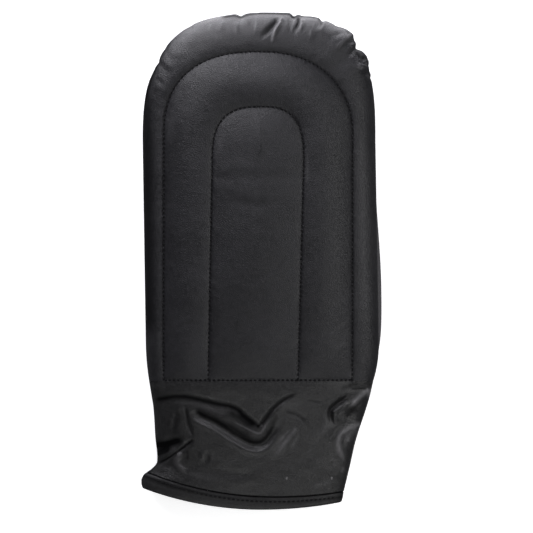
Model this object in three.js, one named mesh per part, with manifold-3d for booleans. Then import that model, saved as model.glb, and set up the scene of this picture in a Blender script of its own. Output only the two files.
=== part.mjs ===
// Slip-on bag mitt for the left hand, lying palm down with its fingertips towards +Y.
// A quilted padded back and a thin palm panel close round the hand, and a thin creased
// cuff with a turned hem carries on from them to the wrist opening at -Y.
import * as THREE from "three";
import { mergeVertices } from "three/addons/utils/BufferGeometryUtils.js";
import Module from "manifold-3d";

// Driving sizes, in millimetres
const padLength = 199; // bottom seam to the fingertip edge
const padWidth = 127.4; // across the padded back
const padHeight = 47; // table to the top of the quilted back
const quiltRise = 3.5; // how far the padding swells between two quilting seams
const wristHeight = 35; // table to the top of the bottom seam
const cavityHeight = 30; // table to the roof of the hand space
const seamHeight = 9; // table to the seam of back and palm
const palmTurn = 7; // how far the palm panel curls in before it lies flat
const palmFlare = 2.1; // how far the palm edge shows past the pad on the thumb side
const leather = 2; // palm, cuff and hem leather
const cuffLength = 69.4; // bottom seam to the longest point of the hem
const mouthWidth = 107.6; // flat width of the wrist opening
const mouthHeight = 24; // table to the top of the wrist opening
const waistPull = 7; // how far the cuff draws in above its hem
const hemWidthLeft = 9.4; // the turned hem, along the cuff
const hemWidthRight = 5.6;
const hemSwell = 0.8; // how far the hem stands proud of the cuff on each face
const foldDepth = 3.2; // the deepest crease of the cuff
const foldReach = 4.2; // half the width of a plain crease
const gatherDepth = 3; // the deepest pucker round the fingertips
const gatherReach = 0.017; // half the width of a pucker, as a share of the way round the pad
const gatherPull = 0.45; // how far a pucker draws the rim inwards, as a share of its depth
const cornerTuckLength = 20; // where the sides of the pad turn in to the bottom seam
const leftCornerTuck = 1.5;
const rightCornerTuck = 3.3;
const thumbHoleLength = 46;
const thumbHoleWidth = 30;
const thumbHoleAcross = 33; // thumb hole's middle, to the thumb side of the centre line
const thumbHoleAlong = 64; // thumb hole's middle, from the bottom seam
const thumbHoleTilt = 12; // degrees, its top leaning in over the palm
const seamGap = 0.3; // clearance between two pieces that are sewn together

// Grid steps of the faceted surfaces
const sideSteps = 10;
const tipSteps = 56;
const rimRows = 6;
const bandRows = 5;
const middleRows = 5;
const palmRows = 3;
const cuffSteps = 22;
const cuffTopSteps = 40;
const cuffFloorSteps = 10;
const hemSteps = 3;
const holeSteps = 16;
const weldReach = 0.001; // points nearer than this are one point

// Shapes that are pure proportion
const archRoundness = 2.2; // 2 is an ellipse, more is squarer
const rimStart = -35; // degrees round the rim roll, at the palm seam
const rimEndAtWrist = 90; // degrees, at the bottom seam
const rimEnd = 100; // degrees, along the hand
const bandRoundness = 0.7; // less than 1 makes the padding fuller beside its seams
const middleRoundness = 0.8;
const cavityRoundness = 2.4;
const cavityCrowding = 1.6; // gathers the rows of the roof near its edge
const palmFloorRoundness = 6;
const cuffBelt = 0.42; // height of the cuff's widest line, as a share of the top over it
const beltDrop = 0.5; // the back's widest line, from the palm seam at 0 to the cuff's at 1

// Lines sewn or folded round the hand, each an upside-down U. left and right are shares of
// half the pad's width, shoulder and top are shares of its length from the bottom seam.
const quiltLines = {
  edge: {
    left: 0.977, leftTop: 1.008, right: 1, rightTop: 0.966,
    shoulder: 0.653, top: 1, leftRound: 2.65, rightRound: 3,
  },
  outerSeam: {
    left: 0.829, leftTop: 0.823, right: 0.768, rightTop: 0.768,
    shoulder: 0.665, top: 0.891, leftRound: 2.5, rightRound: 2.2,
  },
  innerSeam: {
    left: 0.45, leftTop: 0.415, right: 0.309, rightTop: 0.356,
    shoulder: 0.594, top: 0.742, leftRound: 2.8, rightRound: 2.8,
  },
  spine: {
    left: 0.06, leftTop: 0.05, right: -0.06, rightTop: -0.05,
    shoulder: 0.45, top: 0.62, leftRound: 2.6, rightRound: 2.6,
  },
  cavity: {
    left: 0.9, leftTop: 0.925, right: 0.9, rightTop: 0.895,
    shoulder: 0.63, top: 0.93, leftRound: 2.6, rightRound: 2.8,
  },
};

// Height along the back. at is a share of the pad's length, rise a share of the way from
// the wrist height to the crown.
const backProfile = [
  { at: 0, rise: 0 },
  { at: 0.12, rise: 0.42 },
  { at: 0.3, rise: 0.84 },
  { at: 0.5, rise: 1 },
  { at: 0.66, rise: 0.95 },
  { at: 0.78, rise: 0.65 },
  { at: 0.9, rise: 0 },
  { at: 1, rise: -0.6 },
];

// Puckers gathered into the rim, counted round the fingertips from the left shoulder at 0
// to the right one at 1. depth is a share of gatherDepth, reach of gatherReach, and run is
// how much of the rim the pucker crosses.
const gathers = [
  { at: 0.19, depth: 0.5, reach: 1, run: 0.45 },
  { at: 0.33, depth: 0.25, reach: 1.3, run: 0.6 },
  { at: 0.455, depth: 0.6, reach: 1, run: 0.7 },
  { at: 0.525, depth: 1, reach: 1, run: 0.95 },
  { at: 0.575, depth: 0.85, reach: 0.9, run: 0.8 },
  { at: 0.64, depth: 0.6, reach: 1, run: 0.6 },
  { at: 0.715, depth: 0.5, reach: 1, run: 0.6 },
  { at: 0.79, depth: 0.8, reach: 1, run: 0.8 },
];

// The cuff from the bottom seam to the mouth. leftPull and rightPull are shares of
// waistPull that each side draws in from a straight taper.
const cuffSections = [
  { at: 0, leftPull: 0, rightPull: 0 },
  { at: 0.125, leftPull: 0.24, rightPull: -0.06 },
  { at: 0.25, leftPull: 0.47, rightPull: -0.04 },
  { at: 0.5, leftPull: 0.74, rightPull: 0.1 },
  { at: 0.72, leftPull: 1, rightPull: 0.03 },
  { at: 0.8, leftPull: 0.6, rightPull: 0.02 },
  { at: 0.86, leftPull: 0.12, rightPull: 0.01 },
  { at: 0.93, leftPull: -0.08, rightPull: 0 },
  { at: 1, leftPull: 0.03, rightPull: 0 },
];

// Creases of the cuff's upper face. x is a share of half the width there, from the left
// edge at -1 to the right at 1, and y a share of cuffLength from the bottom seam. bow is a
// share of the crease's own length, depth of foldDepth, a ridge being below zero, and width
// of foldReach.
const cuffFolds = [
  { x: -0.84, y: 0.1, toX: -0.1, toY: 0.29, bow: -0.11, depth: 1, width: 0.9 },
  { x: 0.02, y: 0.31, toX: 0.28, toY: 0.1, bow: -0.05, depth: 0.9, width: 0.8 },
  { x: -0.62, y: 0.23, toX: -0.07, toY: 0.475, bow: -0.07, depth: 0.75, width: 0.8 },
  { x: 0, y: 0.475, toX: 0.17, toY: 0.23, bow: 0.12, depth: 0.7, width: 0.7 },
  { x: -0.58, y: 0.34, toX: -0.11, toY: 0.57, bow: -0.07, depth: -0.5, width: 0.8 },
  { x: -0.04, y: 0.57, toX: 0.15, toY: 0.41, bow: 0.1, depth: -0.4, width: 0.7 },
  { x: -0.7, y: 0.18, toX: -0.69, toY: 0.62, bow: 0.05, depth: 0.4, width: 0.7 },
  { x: -0.97, y: 0.46, toX: -0.73, toY: 0.5, bow: 0, depth: 1.2, width: 1.1 },
  { x: -0.62, y: 0.45, toX: -0.97, toY: 0.635, bow: 0, depth: 0.8, width: 0.7 },
  { x: 0.84, y: 0.106, toX: 0.7, toY: 0.327, bow: 0.08, depth: 0.8, width: 0.8 },
  { x: 0.98, y: 0.02, toX: 0.94, toY: 0.16, bow: 0, depth: -0.5, width: 0.8 },
  { x: 0.97, y: 0.327, toX: 0.82, toY: 0.52, bow: 0.06, depth: -0.5, width: 0.8 },
];

// The hem's line, as shares of cuffLength that each corner lies back from the middle
const hemLiftLeft = 0.165;
const hemLiftRight = 0.055;
const mouthLeftShare = 0.6; // share of mouthWidth on the left of the centre line

// The palm edge on the thumb side, from the bottom seam at 0 to the shoulder at 1. flare runs
// from the palm seam at 0 to palmFlare past the pad's edge at 1.
const palmEdge = [
  { at: 0, flare: 0 },
  { at: 0.07, flare: 0.3 },
  { at: 0.2, flare: 0.85 },
  { at: 0.35, flare: 1 },
  { at: 0.47, flare: 0.97 },
  { at: 0.6, flare: 0.8 },
  { at: 0.73, flare: 0.6 },
  { at: 0.87, flare: 0.52 },
  { at: 1, flare: 0.5 },
  { at: 1.3, flare: 0 },
];

// Worked out from the driving sizes
const halfWidth = padWidth / 2;
const padCrown = padHeight - quiltRise;
const seamY = (cuffLength - padLength) / 2;
const totalSteps = 2 * sideSteps + tipSteps;
const sideShare = sideSteps / totalSteps;
const mouthLeft = mouthWidth * mouthLeftShare;
const mouthRight = mouthWidth - mouthLeft;
const backBelt = THREE.MathUtils.lerp(seamHeight, wristHeight * cuffBelt, beltDrop);

const mix = THREE.MathUtils.lerp;
const radians = THREE.MathUtils.degToRad;

// Height or pull between two rows of a table, on a smooth curve through them
function readTable(rows, column, at) {
  const last = rows.length - 1;
  const i = Math.min(last - 1, Math.max(0, rows.findIndex((row) => row.at > at) - 1));
  const here = at >= rows[last].at ? last - 1 : i;
  const a = rows[here];
  const b = rows[here + 1];
  const slope = (k) => {
    const before = rows[Math.max(0, k - 1)];
    const after = rows[Math.min(last, k + 1)];
    return (after[column] - before[column]) / (after.at - before.at);
  };
  const span = b.at - a.at;
  const t = THREE.MathUtils.clamp((at - a.at) / span, 0, 1);
  const risen = t * t * (3 - 2 * t);
  const leaving = t * (1 - t) * (1 - t) * span * slope(here);
  const arriving = t * t * (t - 1) * span * slope(here + 1);
  return mix(a[column], b[column], risen) + leaving + arriving;
}

// Point on an upside-down U round the hand; u runs from the left end at 0 to the right at 1
function onLine(line, u) {
  const shoulder = line.shoulder * padLength;
  if (u < sideShare || u > 1 - sideShare) {
    const left = u < sideShare;
    const climb = (left ? u : 1 - u) / sideShare;
    const across = left ? -mix(line.left, line.leftTop, climb) : mix(line.right, line.rightTop, climb);
    return new THREE.Vector2(across * halfWidth, climb * shoulder);
  }
  const turn = Math.PI * (1 - (u - sideShare) / (1 - 2 * sideShare));
  const across = Math.cos(turn);
  const left = across < 0;
  const half = (left ? line.leftTop : line.rightTop) * halfWidth;
  const power = 2 / (left ? line.leftRound : line.rightRound);
  const up = Math.max(0, Math.sin(turn)) ** power;
  const out = Math.sign(across) * Math.abs(across) ** power;
  return new THREE.Vector2(out * half, mix(shoulder, line.top * padLength, up));
}

// The pad's own edge, whose two lower corners tuck in to the bottom seam
function padEdge(u) {
  const point = onLine(quiltLines.edge, u);
  const tuck = Math.max(0, 1 - point.y / cornerTuckLength) ** 2;
  point.x -= Math.sign(point.x) * tuck * (point.x < 0 ? leftCornerTuck : rightCornerTuck);
  return point;
}

// Share of the full height that an arch across the hand has at a share of its half width
function archShare(across) {
  return (1 - Math.min(1, Math.abs(across)) ** archRoundness) ** (1 / archRoundness);
}

// 0 at the bottom seam and 1 where the padding is free of it
function freeOfSeam(y) {
  return 1 - Math.max(0, 1 - y / cornerTuckLength) ** 2;
}

// Height of the back through its seams, before the padding swells between them
function backHeight(point) {
  const rise = readTable(backProfile, "rise", point.y / padLength);
  const crown = mix(wristHeight, padCrown, rise);
  return mix(backBelt, crown, archShare(point.x / halfWidth));
}

// How deep the puckers are at u, for a point that lies a share of the rim in from the edge
function gatherAt(u, inward) {
  const around = (u - sideShare) / (1 - 2 * sideShare);
  return gathers.reduce((sum, row) => {
    const off = (around - row.at) / (gatherReach * row.reach);
    const fade = Math.max(0, 1 - inward / row.run);
    return sum + gatherDepth * row.depth * Math.exp(-off * off) * fade;
  }, 0);
}

// A point of the padded roll round the pad; turned runs from rimStart to its end
function rimPoint(u, share) {
  const edge = padEdge(u);
  const seam = onLine(quiltLines.outerSeam, u);
  const end = radians(mix(rimEndAtWrist, rimEnd, freeOfSeam(seam.y)));
  const start = radians(rimStart);
  const turned = mix(start, end, share);
  const inward = (1 - Math.cos(turned)) / (1 - Math.cos(end));
  const plan = edge.clone().lerp(seam, inward);
  const lift = (backHeight(seam) - seamHeight) / (Math.sin(end) - Math.sin(start));
  const pucker = gatherAt(u, inward);
  const towards = seam.clone().sub(edge).setLength(pucker * gatherPull);
  const height = seamHeight + lift * (Math.sin(turned) - Math.sin(start));
  plan.add(towards);
  return new THREE.Vector3(plan.x, plan.y, height - pucker * Math.sin(Math.PI * share));
}

// A point between two quilting seams, where the padding swells
function quiltPoint(outerLine, innerLine, u, share, swell) {
  const outer = onLine(outerLine, u);
  const plan = outer.clone().lerp(onLine(innerLine, u), share);
  const rise = quiltRise * swell * freeOfSeam(plan.y);
  return new THREE.Vector3(plan.x, plan.y, backHeight(plan) + rise);
}

// Every outer point of the padded back at u, from the palm seam in to the middle
function backColumn(u) {
  const rim = Array.from({ length: rimRows }, (_, k) => rimPoint(u, k / rimRows));
  const band = Array.from({ length: bandRows }, (_, k) => {
    const share = k / bandRows;
    const swell = Math.sin(Math.PI * share) ** bandRoundness;
    return quiltPoint(quiltLines.outerSeam, quiltLines.innerSeam, u, share, swell);
  });
  const middle = Array.from({ length: middleRows + 1 }, (_, k) => {
    const share = k / middleRows;
    const swell = Math.sin((Math.PI / 2) * share) ** middleRoundness;
    return quiltPoint(quiltLines.innerSeam, quiltLines.spine, u, share, swell);
  });
  return [...rim, ...band, ...middle];
}

// Every point of the hand space's roof at u, with as many rows as the outside
function cavityColumn(u) {
  const rows = rimRows + bandRows + middleRows;
  return Array.from({ length: rows + 1 }, (_, k) => {
    const share = (k / rows) ** cavityCrowding;
    const plan = onLine(quiltLines.cavity, u).lerp(onLine(quiltLines.spine, u), share);
    const rise = (1 - (1 - share) ** cavityRoundness) ** (1 / cavityRoundness);
    return new THREE.Vector3(plan.x, plan.y, mix(seamHeight, cavityHeight, rise));
  });
}

// How far the palm edge flares at u, all of it on the thumb side
function flareAt(u) {
  return readTable(palmEdge, "flare", (1 - u) / sideShare);
}

// A point of the palm panel; face 0 is its outside and 1 its inside
function palmPoint(u, k, face) {
  const start = rimPoint(u, 0);
  const seam = new THREE.Vector2(start.x, start.y);
  const spine = onLine(quiltLines.spine, u);
  const wall = leather * face;
  const top = seamHeight - seamGap;
  if (k > palmRows) return new THREE.Vector3(spine.x, spine.y, wall);
  const turned = ((Math.PI / 2) * k) / palmRows;
  const flare = (1 - face) * flareAt(u) * (seam.distanceTo(padEdge(u)) + palmFlare) * Math.cos(turned);
  const inward = palmTurn - (palmTurn - wall) * Math.cos(turned) - flare;
  const plan = seam.clone().addScaledVector(spine.clone().sub(seam).normalize(), inward);
  return new THREE.Vector3(plan.x, plan.y, top - (top - wall) * Math.sin(turned));
}

// How far a crease lowers the leather at a point of the cuff's upper face
function foldAt(x, y) {
  return cuffFolds.reduce((sum, row) => {
    const from = new THREE.Vector2(row.x * halfWidth, row.y * cuffLength);
    const along = new THREE.Vector2(row.toX * halfWidth, row.toY * cuffLength).sub(from);
    const length = along.length();
    along.normalize();
    const off = new THREE.Vector2(x, y).sub(from);
    const run = off.dot(along) / length;
    const bowed = row.bow * length * 4 * run * (1 - run);
    const aside = (off.cross(along) + bowed) / (foldReach * row.width);
    const past = (Math.max(0, -run, run - 1) * length) / foldReach;
    return sum + foldDepth * row.depth * Math.exp(-aside * aside - past * past);
  }, 0);
}

// How far the mouth's edge lies back at x, as a share of cuffLength
function liftAt(x) {
  return x < 0 ? hemLiftLeft * (x / mouthLeft) ** 2 : hemLiftRight * (x / mouthRight) ** 2;
}

// Angle round the cuff's tube: from the left side over the top, then back along the floor
function turnAt(step) {
  if (step <= cuffTopSteps) return Math.PI * (1 - step / cuffTopSteps);
  return (-Math.PI * (step - cuffTopSteps)) / cuffFloorSteps;
}

// Where the hem starts at a step round the tube, as a share of the way to the mouth
function hemStart(step) {
  const across = (1 + Math.cos(turnAt(step))) / 2;
  const width = mix(hemWidthLeft, hemWidthRight, across);
  const lift = liftAt(mix(-mouthLeft, mouthRight, across));
  return 1 - width / (cuffLength * (1 - lift));
}

// One point of the cuff's tube, at a step round it and a share of the way to the mouth.
// grow moves the wall out.
function cuffPoint(step, at, grow, folded) {
  const padLeft = -padEdge(0).x;
  const padRight = padEdge(1).x;
  const left = mix(padLeft, mouthLeft, at) - waistPull * readTable(cuffSections, "leftPull", at) + grow;
  const right = mix(padRight, mouthRight, at) - waistPull * readTable(cuffSections, "rightPull", at) + grow;
  const belt = cuffBelt * mix(wristHeight, mouthHeight, at);
  const top = mix(wristHeight, mouthHeight, at) + grow;
  const over = step <= cuffTopSteps;
  const turn = turnAt(step);
  const spread = Math.cos(turn);
  const power = 2 / palmFloorRoundness;
  const across = over ? spread : Math.sign(spread) * Math.abs(spread) ** power;
  const arch = over ? archShare(spread) : Math.abs(Math.sin(turn)) ** power;
  const x = (right - left) / 2 + (across * (right + left)) / 2;
  const y = at * cuffLength * (1 - liftAt(x));
  const z = mix(belt, over ? top : Math.max(0, -grow), arch);
  const crease = over && folded ? foldAt(x, y) * arch : 0;
  return new THREE.Vector3(x, -y, z - crease);
}

// Closed body between an outer and an inner grid of points, indexed [column][row]. round
// joins the last column to the first; otherwise the last rows meet along the middle.
function shell(outer, inner, round) {
  const points = [outer, inner].flat(2);
  const rows = outer[0].length;
  const columns = outer.length;
  const at = (side, i, j) => (side * columns + (i % columns)) * rows + j;
  const faces = [];
  const quad = (a, b, c, d) => faces.push(a, b, c, a, c, d);
  const columnSteps = round ? columns : columns - 1;
  for (let i = 0; i < columnSteps; i++) {
    for (let j = 0; j < rows - 1; j++) {
      quad(at(0, i, j), at(0, i, j + 1), at(0, i + 1, j + 1), at(0, i + 1, j));
      quad(at(1, i, j), at(1, i + 1, j), at(1, i + 1, j + 1), at(1, i, j + 1));
    }
    quad(at(0, i, 0), at(0, i + 1, 0), at(1, i + 1, 0), at(1, i, 0));
    if (round) quad(at(0, i, rows - 1), at(1, i, rows - 1), at(1, i + 1, rows - 1), at(0, i + 1, rows - 1));
  }
  if (!round) {
    const end = columns - 1;
    for (let j = 0; j < rows - 1; j++) {
      quad(at(0, 0, j), at(1, 0, j), at(1, 0, j + 1), at(0, 0, j + 1));
      quad(at(0, end, j), at(0, end, j + 1), at(1, end, j + 1), at(1, end, j));
    }
  }
  return weld(points, faces);
}

// Merges points that coincide and drops the faces that this collapses
function weld(points, faces) {
  const raw = new THREE.BufferGeometry().setFromPoints(points).setIndex(faces);
  const merged = mergeVertices(raw, weldReach);
  const index = merged.index.array;
  const kept = [];
  for (let i = 0; i < index.length; i += 3) {
    const [a, b, c] = index.slice(i, i + 3);
    if (a !== b && b !== c && c !== a) kept.push(a, b, c);
  }
  return merged.setIndex(kept);
}

const wasm = await Module();
wasm.setup();

// Takes one closed geometry out of another
function cutAway(geometry, cutter) {
  const solid = (shape) => {
    const bare = shape.clone();
    bare.deleteAttribute("normal");
    bare.deleteAttribute("uv");
    const merged = mergeVertices(bare, weldReach);
    return new wasm.Manifold(new wasm.Mesh({
      numProp: 3,
      vertProperties: new Float32Array(merged.attributes.position.array),
      triVerts: new Uint32Array(merged.index.array),
    }));
  };
  const left = solid(geometry).subtract(solid(cutter)).getMesh();
  return new THREE.BufferGeometry()
    .setAttribute("position", new THREE.BufferAttribute(left.vertProperties, 3))
    .setIndex(new THREE.BufferAttribute(left.triVerts, 1));
}

function makeMesh(name, geometry, material) {
  geometry.computeVertexNormals();
  const mesh = new THREE.Mesh(geometry, material);
  mesh.name = name;
  mesh.position.y = seamY;
  return mesh;
}

// Padded back: the quilted outside and the roof of the hand space as one thick wall
function makeBackPad(material) {
  const columns = Array.from({ length: totalSteps + 1 }, (_, i) => i / totalSteps);
  return makeMesh("back_pad", shell(columns.map(backColumn), columns.map(cavityColumn), false), material);
}

// Palm panel: flat on the table, curled up at its edge to meet the back, with a thumb hole
function makePalmPanel(material) {
  const face = (side) =>
    Array.from({ length: totalSteps + 1 }, (_, i) =>
      Array.from({ length: palmRows + 2 }, (_, k) => palmPoint(i / totalSteps, k, side)));
  const panel = shell(face(1), face(0), false);
  const hole = new THREE.Shape().absellipse(0, 0, thumbHoleWidth / 2, thumbHoleLength / 2, 0, 2 * Math.PI);
  const through = { depth: 3 * leather, bevelEnabled: false, curveSegments: holeSteps };
  const cutter = new THREE.ExtrudeGeometry(hole, through);
  cutter.rotateZ(radians(thumbHoleTilt));
  cutter.translate(thumbHoleAcross, thumbHoleAlong, -leather);
  return makeMesh("palm_panel", cutAway(panel, cutter), material);
}

// Grid of the cuff's tube; from and to give where it starts and ends at each step round it
function cuffGrid(from, to, steps, grow, folded) {
  const around = cuffTopSteps + cuffFloorSteps;
  return Array.from({ length: around }, (_, i) =>
    Array.from({ length: steps + 1 }, (_, j) => {
      const share = j / steps;
      return cuffPoint(i, mix(from(i), to(i), share), grow(share), folded);
    }));
}

// Cuff: a thin creased tube from the bottom seam to the hem
function makeCuff(material) {
  const gap = seamGap / cuffLength;
  const from = () => gap;
  const to = (step) => hemStart(step) - gap;
  const outer = cuffGrid(from, to, cuffSteps, () => 0, true);
  const inner = cuffGrid(from, to, cuffSteps, () => -leather, true);
  return makeMesh("cuff", shell(outer, inner, true), material);
}

// Hem: the cuff's edge turned in on itself, proud of the cuff and rounded at the mouth
function makeHemBand(material) {
  const swell = (share) => hemSwell * Math.sqrt(1 - share ** 2);
  const mouth = () => 1;
  const outer = cuffGrid(hemStart, mouth, hemSteps, swell, false);
  const inner = cuffGrid(hemStart, mouth, hemSteps, (share) => -leather - swell(share), false);
  return makeMesh("hem_band", shell(outer, inner, true), material);
}

const grained = new THREE.MeshStandardMaterial({ color: 0x2b2b2e, roughness: 0.5, metalness: 0 });
const palmLeather = new THREE.MeshStandardMaterial({ color: 0x262629, roughness: 0.55, metalness: 0 });
const cuffLeather = new THREE.MeshStandardMaterial({ color: 0x2a2a2c, roughness: 0.38, metalness: 0 });
const hemLeather = new THREE.MeshStandardMaterial({ color: 0x29292b, roughness: 0.42, metalness: 0 });

const glove = new THREE.Group();
glove.add(makeBackPad(grained), makePalmPanel(palmLeather), makeCuff(cuffLeather), makeHemBand(hemLeather));
glove.updateMatrixWorld(true);

export default glove;
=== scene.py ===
# Slip-on bag mitt in black leather, lying palm down and seen from straight above.
# The quilted back, the creased cuff and the turned hem are laid out on fine grids from a
# few sizes and short tables. The stitches are modelled once and set along their seams.
import math

import bpy
import numpy as np
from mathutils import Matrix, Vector


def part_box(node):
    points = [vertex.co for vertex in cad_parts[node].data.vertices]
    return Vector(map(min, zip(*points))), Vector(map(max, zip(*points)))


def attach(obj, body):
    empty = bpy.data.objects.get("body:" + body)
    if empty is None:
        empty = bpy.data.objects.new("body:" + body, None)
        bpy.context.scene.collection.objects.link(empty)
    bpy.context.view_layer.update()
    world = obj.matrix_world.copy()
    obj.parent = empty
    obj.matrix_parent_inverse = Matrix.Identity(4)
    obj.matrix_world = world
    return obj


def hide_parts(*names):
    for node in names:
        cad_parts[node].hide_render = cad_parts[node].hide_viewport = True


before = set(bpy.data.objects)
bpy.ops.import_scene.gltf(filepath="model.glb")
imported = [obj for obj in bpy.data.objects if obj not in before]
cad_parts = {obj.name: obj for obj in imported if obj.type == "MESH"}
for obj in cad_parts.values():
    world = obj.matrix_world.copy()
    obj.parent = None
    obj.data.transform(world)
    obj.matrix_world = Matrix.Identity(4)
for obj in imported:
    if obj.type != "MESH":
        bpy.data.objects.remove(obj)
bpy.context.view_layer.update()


def table(columns, *rows):
    """Rows of values under named columns."""
    return [dict(zip(columns.split(), row)) for row in rows]


# Sizes in millimetres; MM turns them into metres when a mesh is made
MM = 0.001
SEAM_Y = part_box("back_pad")[0].y / MM
PAD_LENGTH = 199.0
HALF_WIDTH = 63.7
PAD_HEIGHT = 46.6
QUILT_RISE = 3.0
WRIST_HEIGHT = 35.0
CAVITY_HEIGHT = 30.0
SEAM_HEIGHT = 9.0
PALM_TURN = 7.0
PALM_FLARE = 2.1
LEATHER = 2.0
CUFF_LENGTH = 69.4
MOUTH_WIDTH = 107.6
MOUTH_LEFT = 0.6 * MOUTH_WIDTH
MOUTH_RIGHT = MOUTH_WIDTH - MOUTH_LEFT
MOUTH_HEIGHT = 24.0
WAIST_PULL = 7.0
HEM_WIDTH_LEFT, HEM_WIDTH_RIGHT = 9.4, 5.6
HEM_SWELL = 0.3
SEAM_GAP = 0.3
CUFF_GAP = 0.06  # between the cuff and what is sewn to its two ends
CUFF_STEP = 0.12  # the cuff's top below the back's, at the bottom seam
CUFF_WALL = 1.6
CUFF_JOIN = 11.0  # run over which the cuff's top leaves the line of the bottom seam
CUFF_FLAT_START = 2.5  # run over which its creases and waves set in
BACK_FLAT_START = 6.0  # the same on the back, above the bottom seam
CORNER_TUCK_LENGTH = 20.0
LEFT_CORNER_TUCK, RIGHT_CORNER_TUCK = 1.5, 3.3
THUMB_HOLE = (33.0, 64.0)  # its middle, across and up from the bottom seam
THUMB_HOLE_SIZE = (30.0, 46.0)
THUMB_HOLE_TILT = math.radians(12)
THUMB_HOLE_BEVEL = 0.6

# Stitching, in millimetres where it isn't a share
STITCH_PITCH = 2.5
STITCH_LENGTH = 1.9
THREAD_WIDTH = 1.05
STITCH_PULL = 0.55  # how far a needle hole draws the leather down
STITCH_REACH = 0.75
PULL_BETWEEN = 0.45  # share of that pull halfway between two needle holes
SEAM_DIP, SEAM_DIP_REACH = 0.25, 2.4  # the wider dip on both sides of a seam
BOTTOM_STITCH = 0.7  # the bottom row, above the bottom seam
HEM_THREAD = 0.8  # the hem's thread against the thread of the seams
HEM_STITCH_INSET = 2.6  # from the hem's upper line
THUMB_STITCH_INSET = 3.0
THREAD_LIFT = 0.12  # the thread's middle over the leather of a quilting seam

# Waves of the leather, in millimetres: of the rim, along the sides and at the fingertips
RIM_SLOW, RIM_QUICK, RIM_SEAM = (0.25, 0.4), (0.03, 0.12), (0.06, 0.2)
RIM_TIP_START, RIM_TIP_RUN = 0.55, 0.3  # where the tips' waves take over, of the length
RIM_BESIDE_SEAM, QUILT_BESIDE_SEAM = 0.12, 0.14
RIM_SEAM_REACH, QUILT_SEAM_REACH = 3.5, 4.5
QUILT_SLOW, QUILT_QUICK = 0.35, 0.05
CUFF_SLOW, CUFF_QUICK = 0.3, 0.1
HEM_RIPPLE = 0.12
HEM_GROOVE, HEM_GROOVE_REACH = 0.25, 0.7  # along the hem's stitches

# How strongly edges are marked: a painted highlight on the palm's edge, painted shade at the cuff's
# end and along the hem's line and stitch row
PALM_EDGE_HIGHLIGHT = 1.5
CUFF_END_SHADE = 1.3
HEM_LINE_SHADE, HEM_STITCH_SHADE = 1.2, 0.75

# Shapes that are pure proportion
ARCH_ROUNDNESS = 2.2
CAVITY_ROUNDNESS = 2.4
CAVITY_CROWDING = 1.6  # gathers the rows of the roof near its edge
PALM_FLOOR_ROUNDNESS = 6.0
QUILT_FULLNESS = 0.9  # less than 1 makes the padding fuller beside its seams
HEM_ENDS, HEM_FACES = 0.4, 0.45  # less than 1 makes the hem's section squarer
RIM_START, RIM_END_AT_WRIST, RIM_END = np.radians([-35, 86, 94])
SIDE_SHARE = 0.29  # share of a line round the hand that each straight side takes
HEM_LIFT_LEFT, HEM_LIFT_RIGHT = 0.165, 0.055
CUFF_BELT = 0.42  # height of the cuff's widest line, as a share of the top over it
CREASE_MARGIN = 4.5  # how many of its widths a crease reaches
SMOOTH_ANGLE = math.radians(50)

# Grid steps
COLUMNS = 800
RIM_ROWS = 38
BAND_ROWS = 34
MIDDLE_ROWS = 24
CAVITY_ROWS = 9
CUFF_TOP_STEPS = 230
CUFF_FLOOR_STEPS = 50
CUFF_ROWS = 110
HEM_STEPS = 32
PALM_COLUMNS, PALM_TURN_ROWS, PALM_FLOOR_ROWS = 300, 8, 6
ARCH_STEPS = 6001
PROFILE_STEPS = 260
PROFILE_SMOOTHING = 9

# Lines round the hand, each an upside-down U: shares of half the width (at the wrist, and at
# the shoulders where the arch starts) and of the length, and how square each shoulder is
QUILT_LINES = {row["name"]: row for row in table(
    "name left left_top right right_top shoulder top left_round right_round",
    ("edge", 0.977, 1.008, 1, 0.966, 0.653, 1, 2.65, 3),
    ("outer_seam", 0.829, 0.823, 0.768, 0.768, 0.665, 0.891, 2.5, 2.2),
    ("inner_seam", 0.45, 0.415, 0.309, 0.356, 0.594, 0.742, 2.8, 2.8),
    ("spine", 0.06, 0.05, -0.06, -0.05, 0.45, 0.62, 2.6, 2.6),
    ("cavity", 0.9, 0.925, 0.9, 0.895, 0.63, 0.93, 2.6, 2.8),
)}

# Height along the back, from the wrist height at 0 to the crown at 1
BACK_PROFILE = table(
    "at rise",
    (0, 0), (0.12, 0.42), (0.3, 0.84), (0.5, 1), (0.66, 0.96), (0.78, 0.7), (0.9, 0.15), (1, -0.4),
)

# Broad dents (and, where negative, swells) of the edge round the fingertips. at is a share of
# the way round them, depth and reach are in millimetres.
EDGE_DENTS = table(
    "at depth reach",
    (0.19, 1, 8), (0.405, 0.5, 9), (0.455, 0.7, 4), (0.602, 0.8, 4), (0.656, 0.2, 3),
    (0.722, -1.9, 5), (0.765, 0.5, 2.6), (0.803, -1.6, 4.5),
)

# Puckers of the fingertip rim. lean is how far one shifts on its way in to the seam, and
# run is the share of the rim that it crosses.
GATHERS = table(
    "at lean depth reach run",
    (0.198, 0.01, 0.45, 1.6, 0.3), (0.236, 0.02, 0.25, 1.5, 0.4), (0.318, 0.01, 0.25, 2, 0.4),
    (0.449, 0.01, 0.9, 1.6, 0.35), (0.486, 0.02, 0.2, 1.8, 0.5), (0.58, -0.01, 1.3, 1.4, 0.5),
    (0.652, 0.01, 0.9, 1.3, 0.3), (0.69, 0, 0.3, 1.8, 0.4), (0.764, 0, 1.1, 1.4, 0.4),
    (0.83, 0.02, 0.5, 1.5, 0.4),
)

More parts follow.
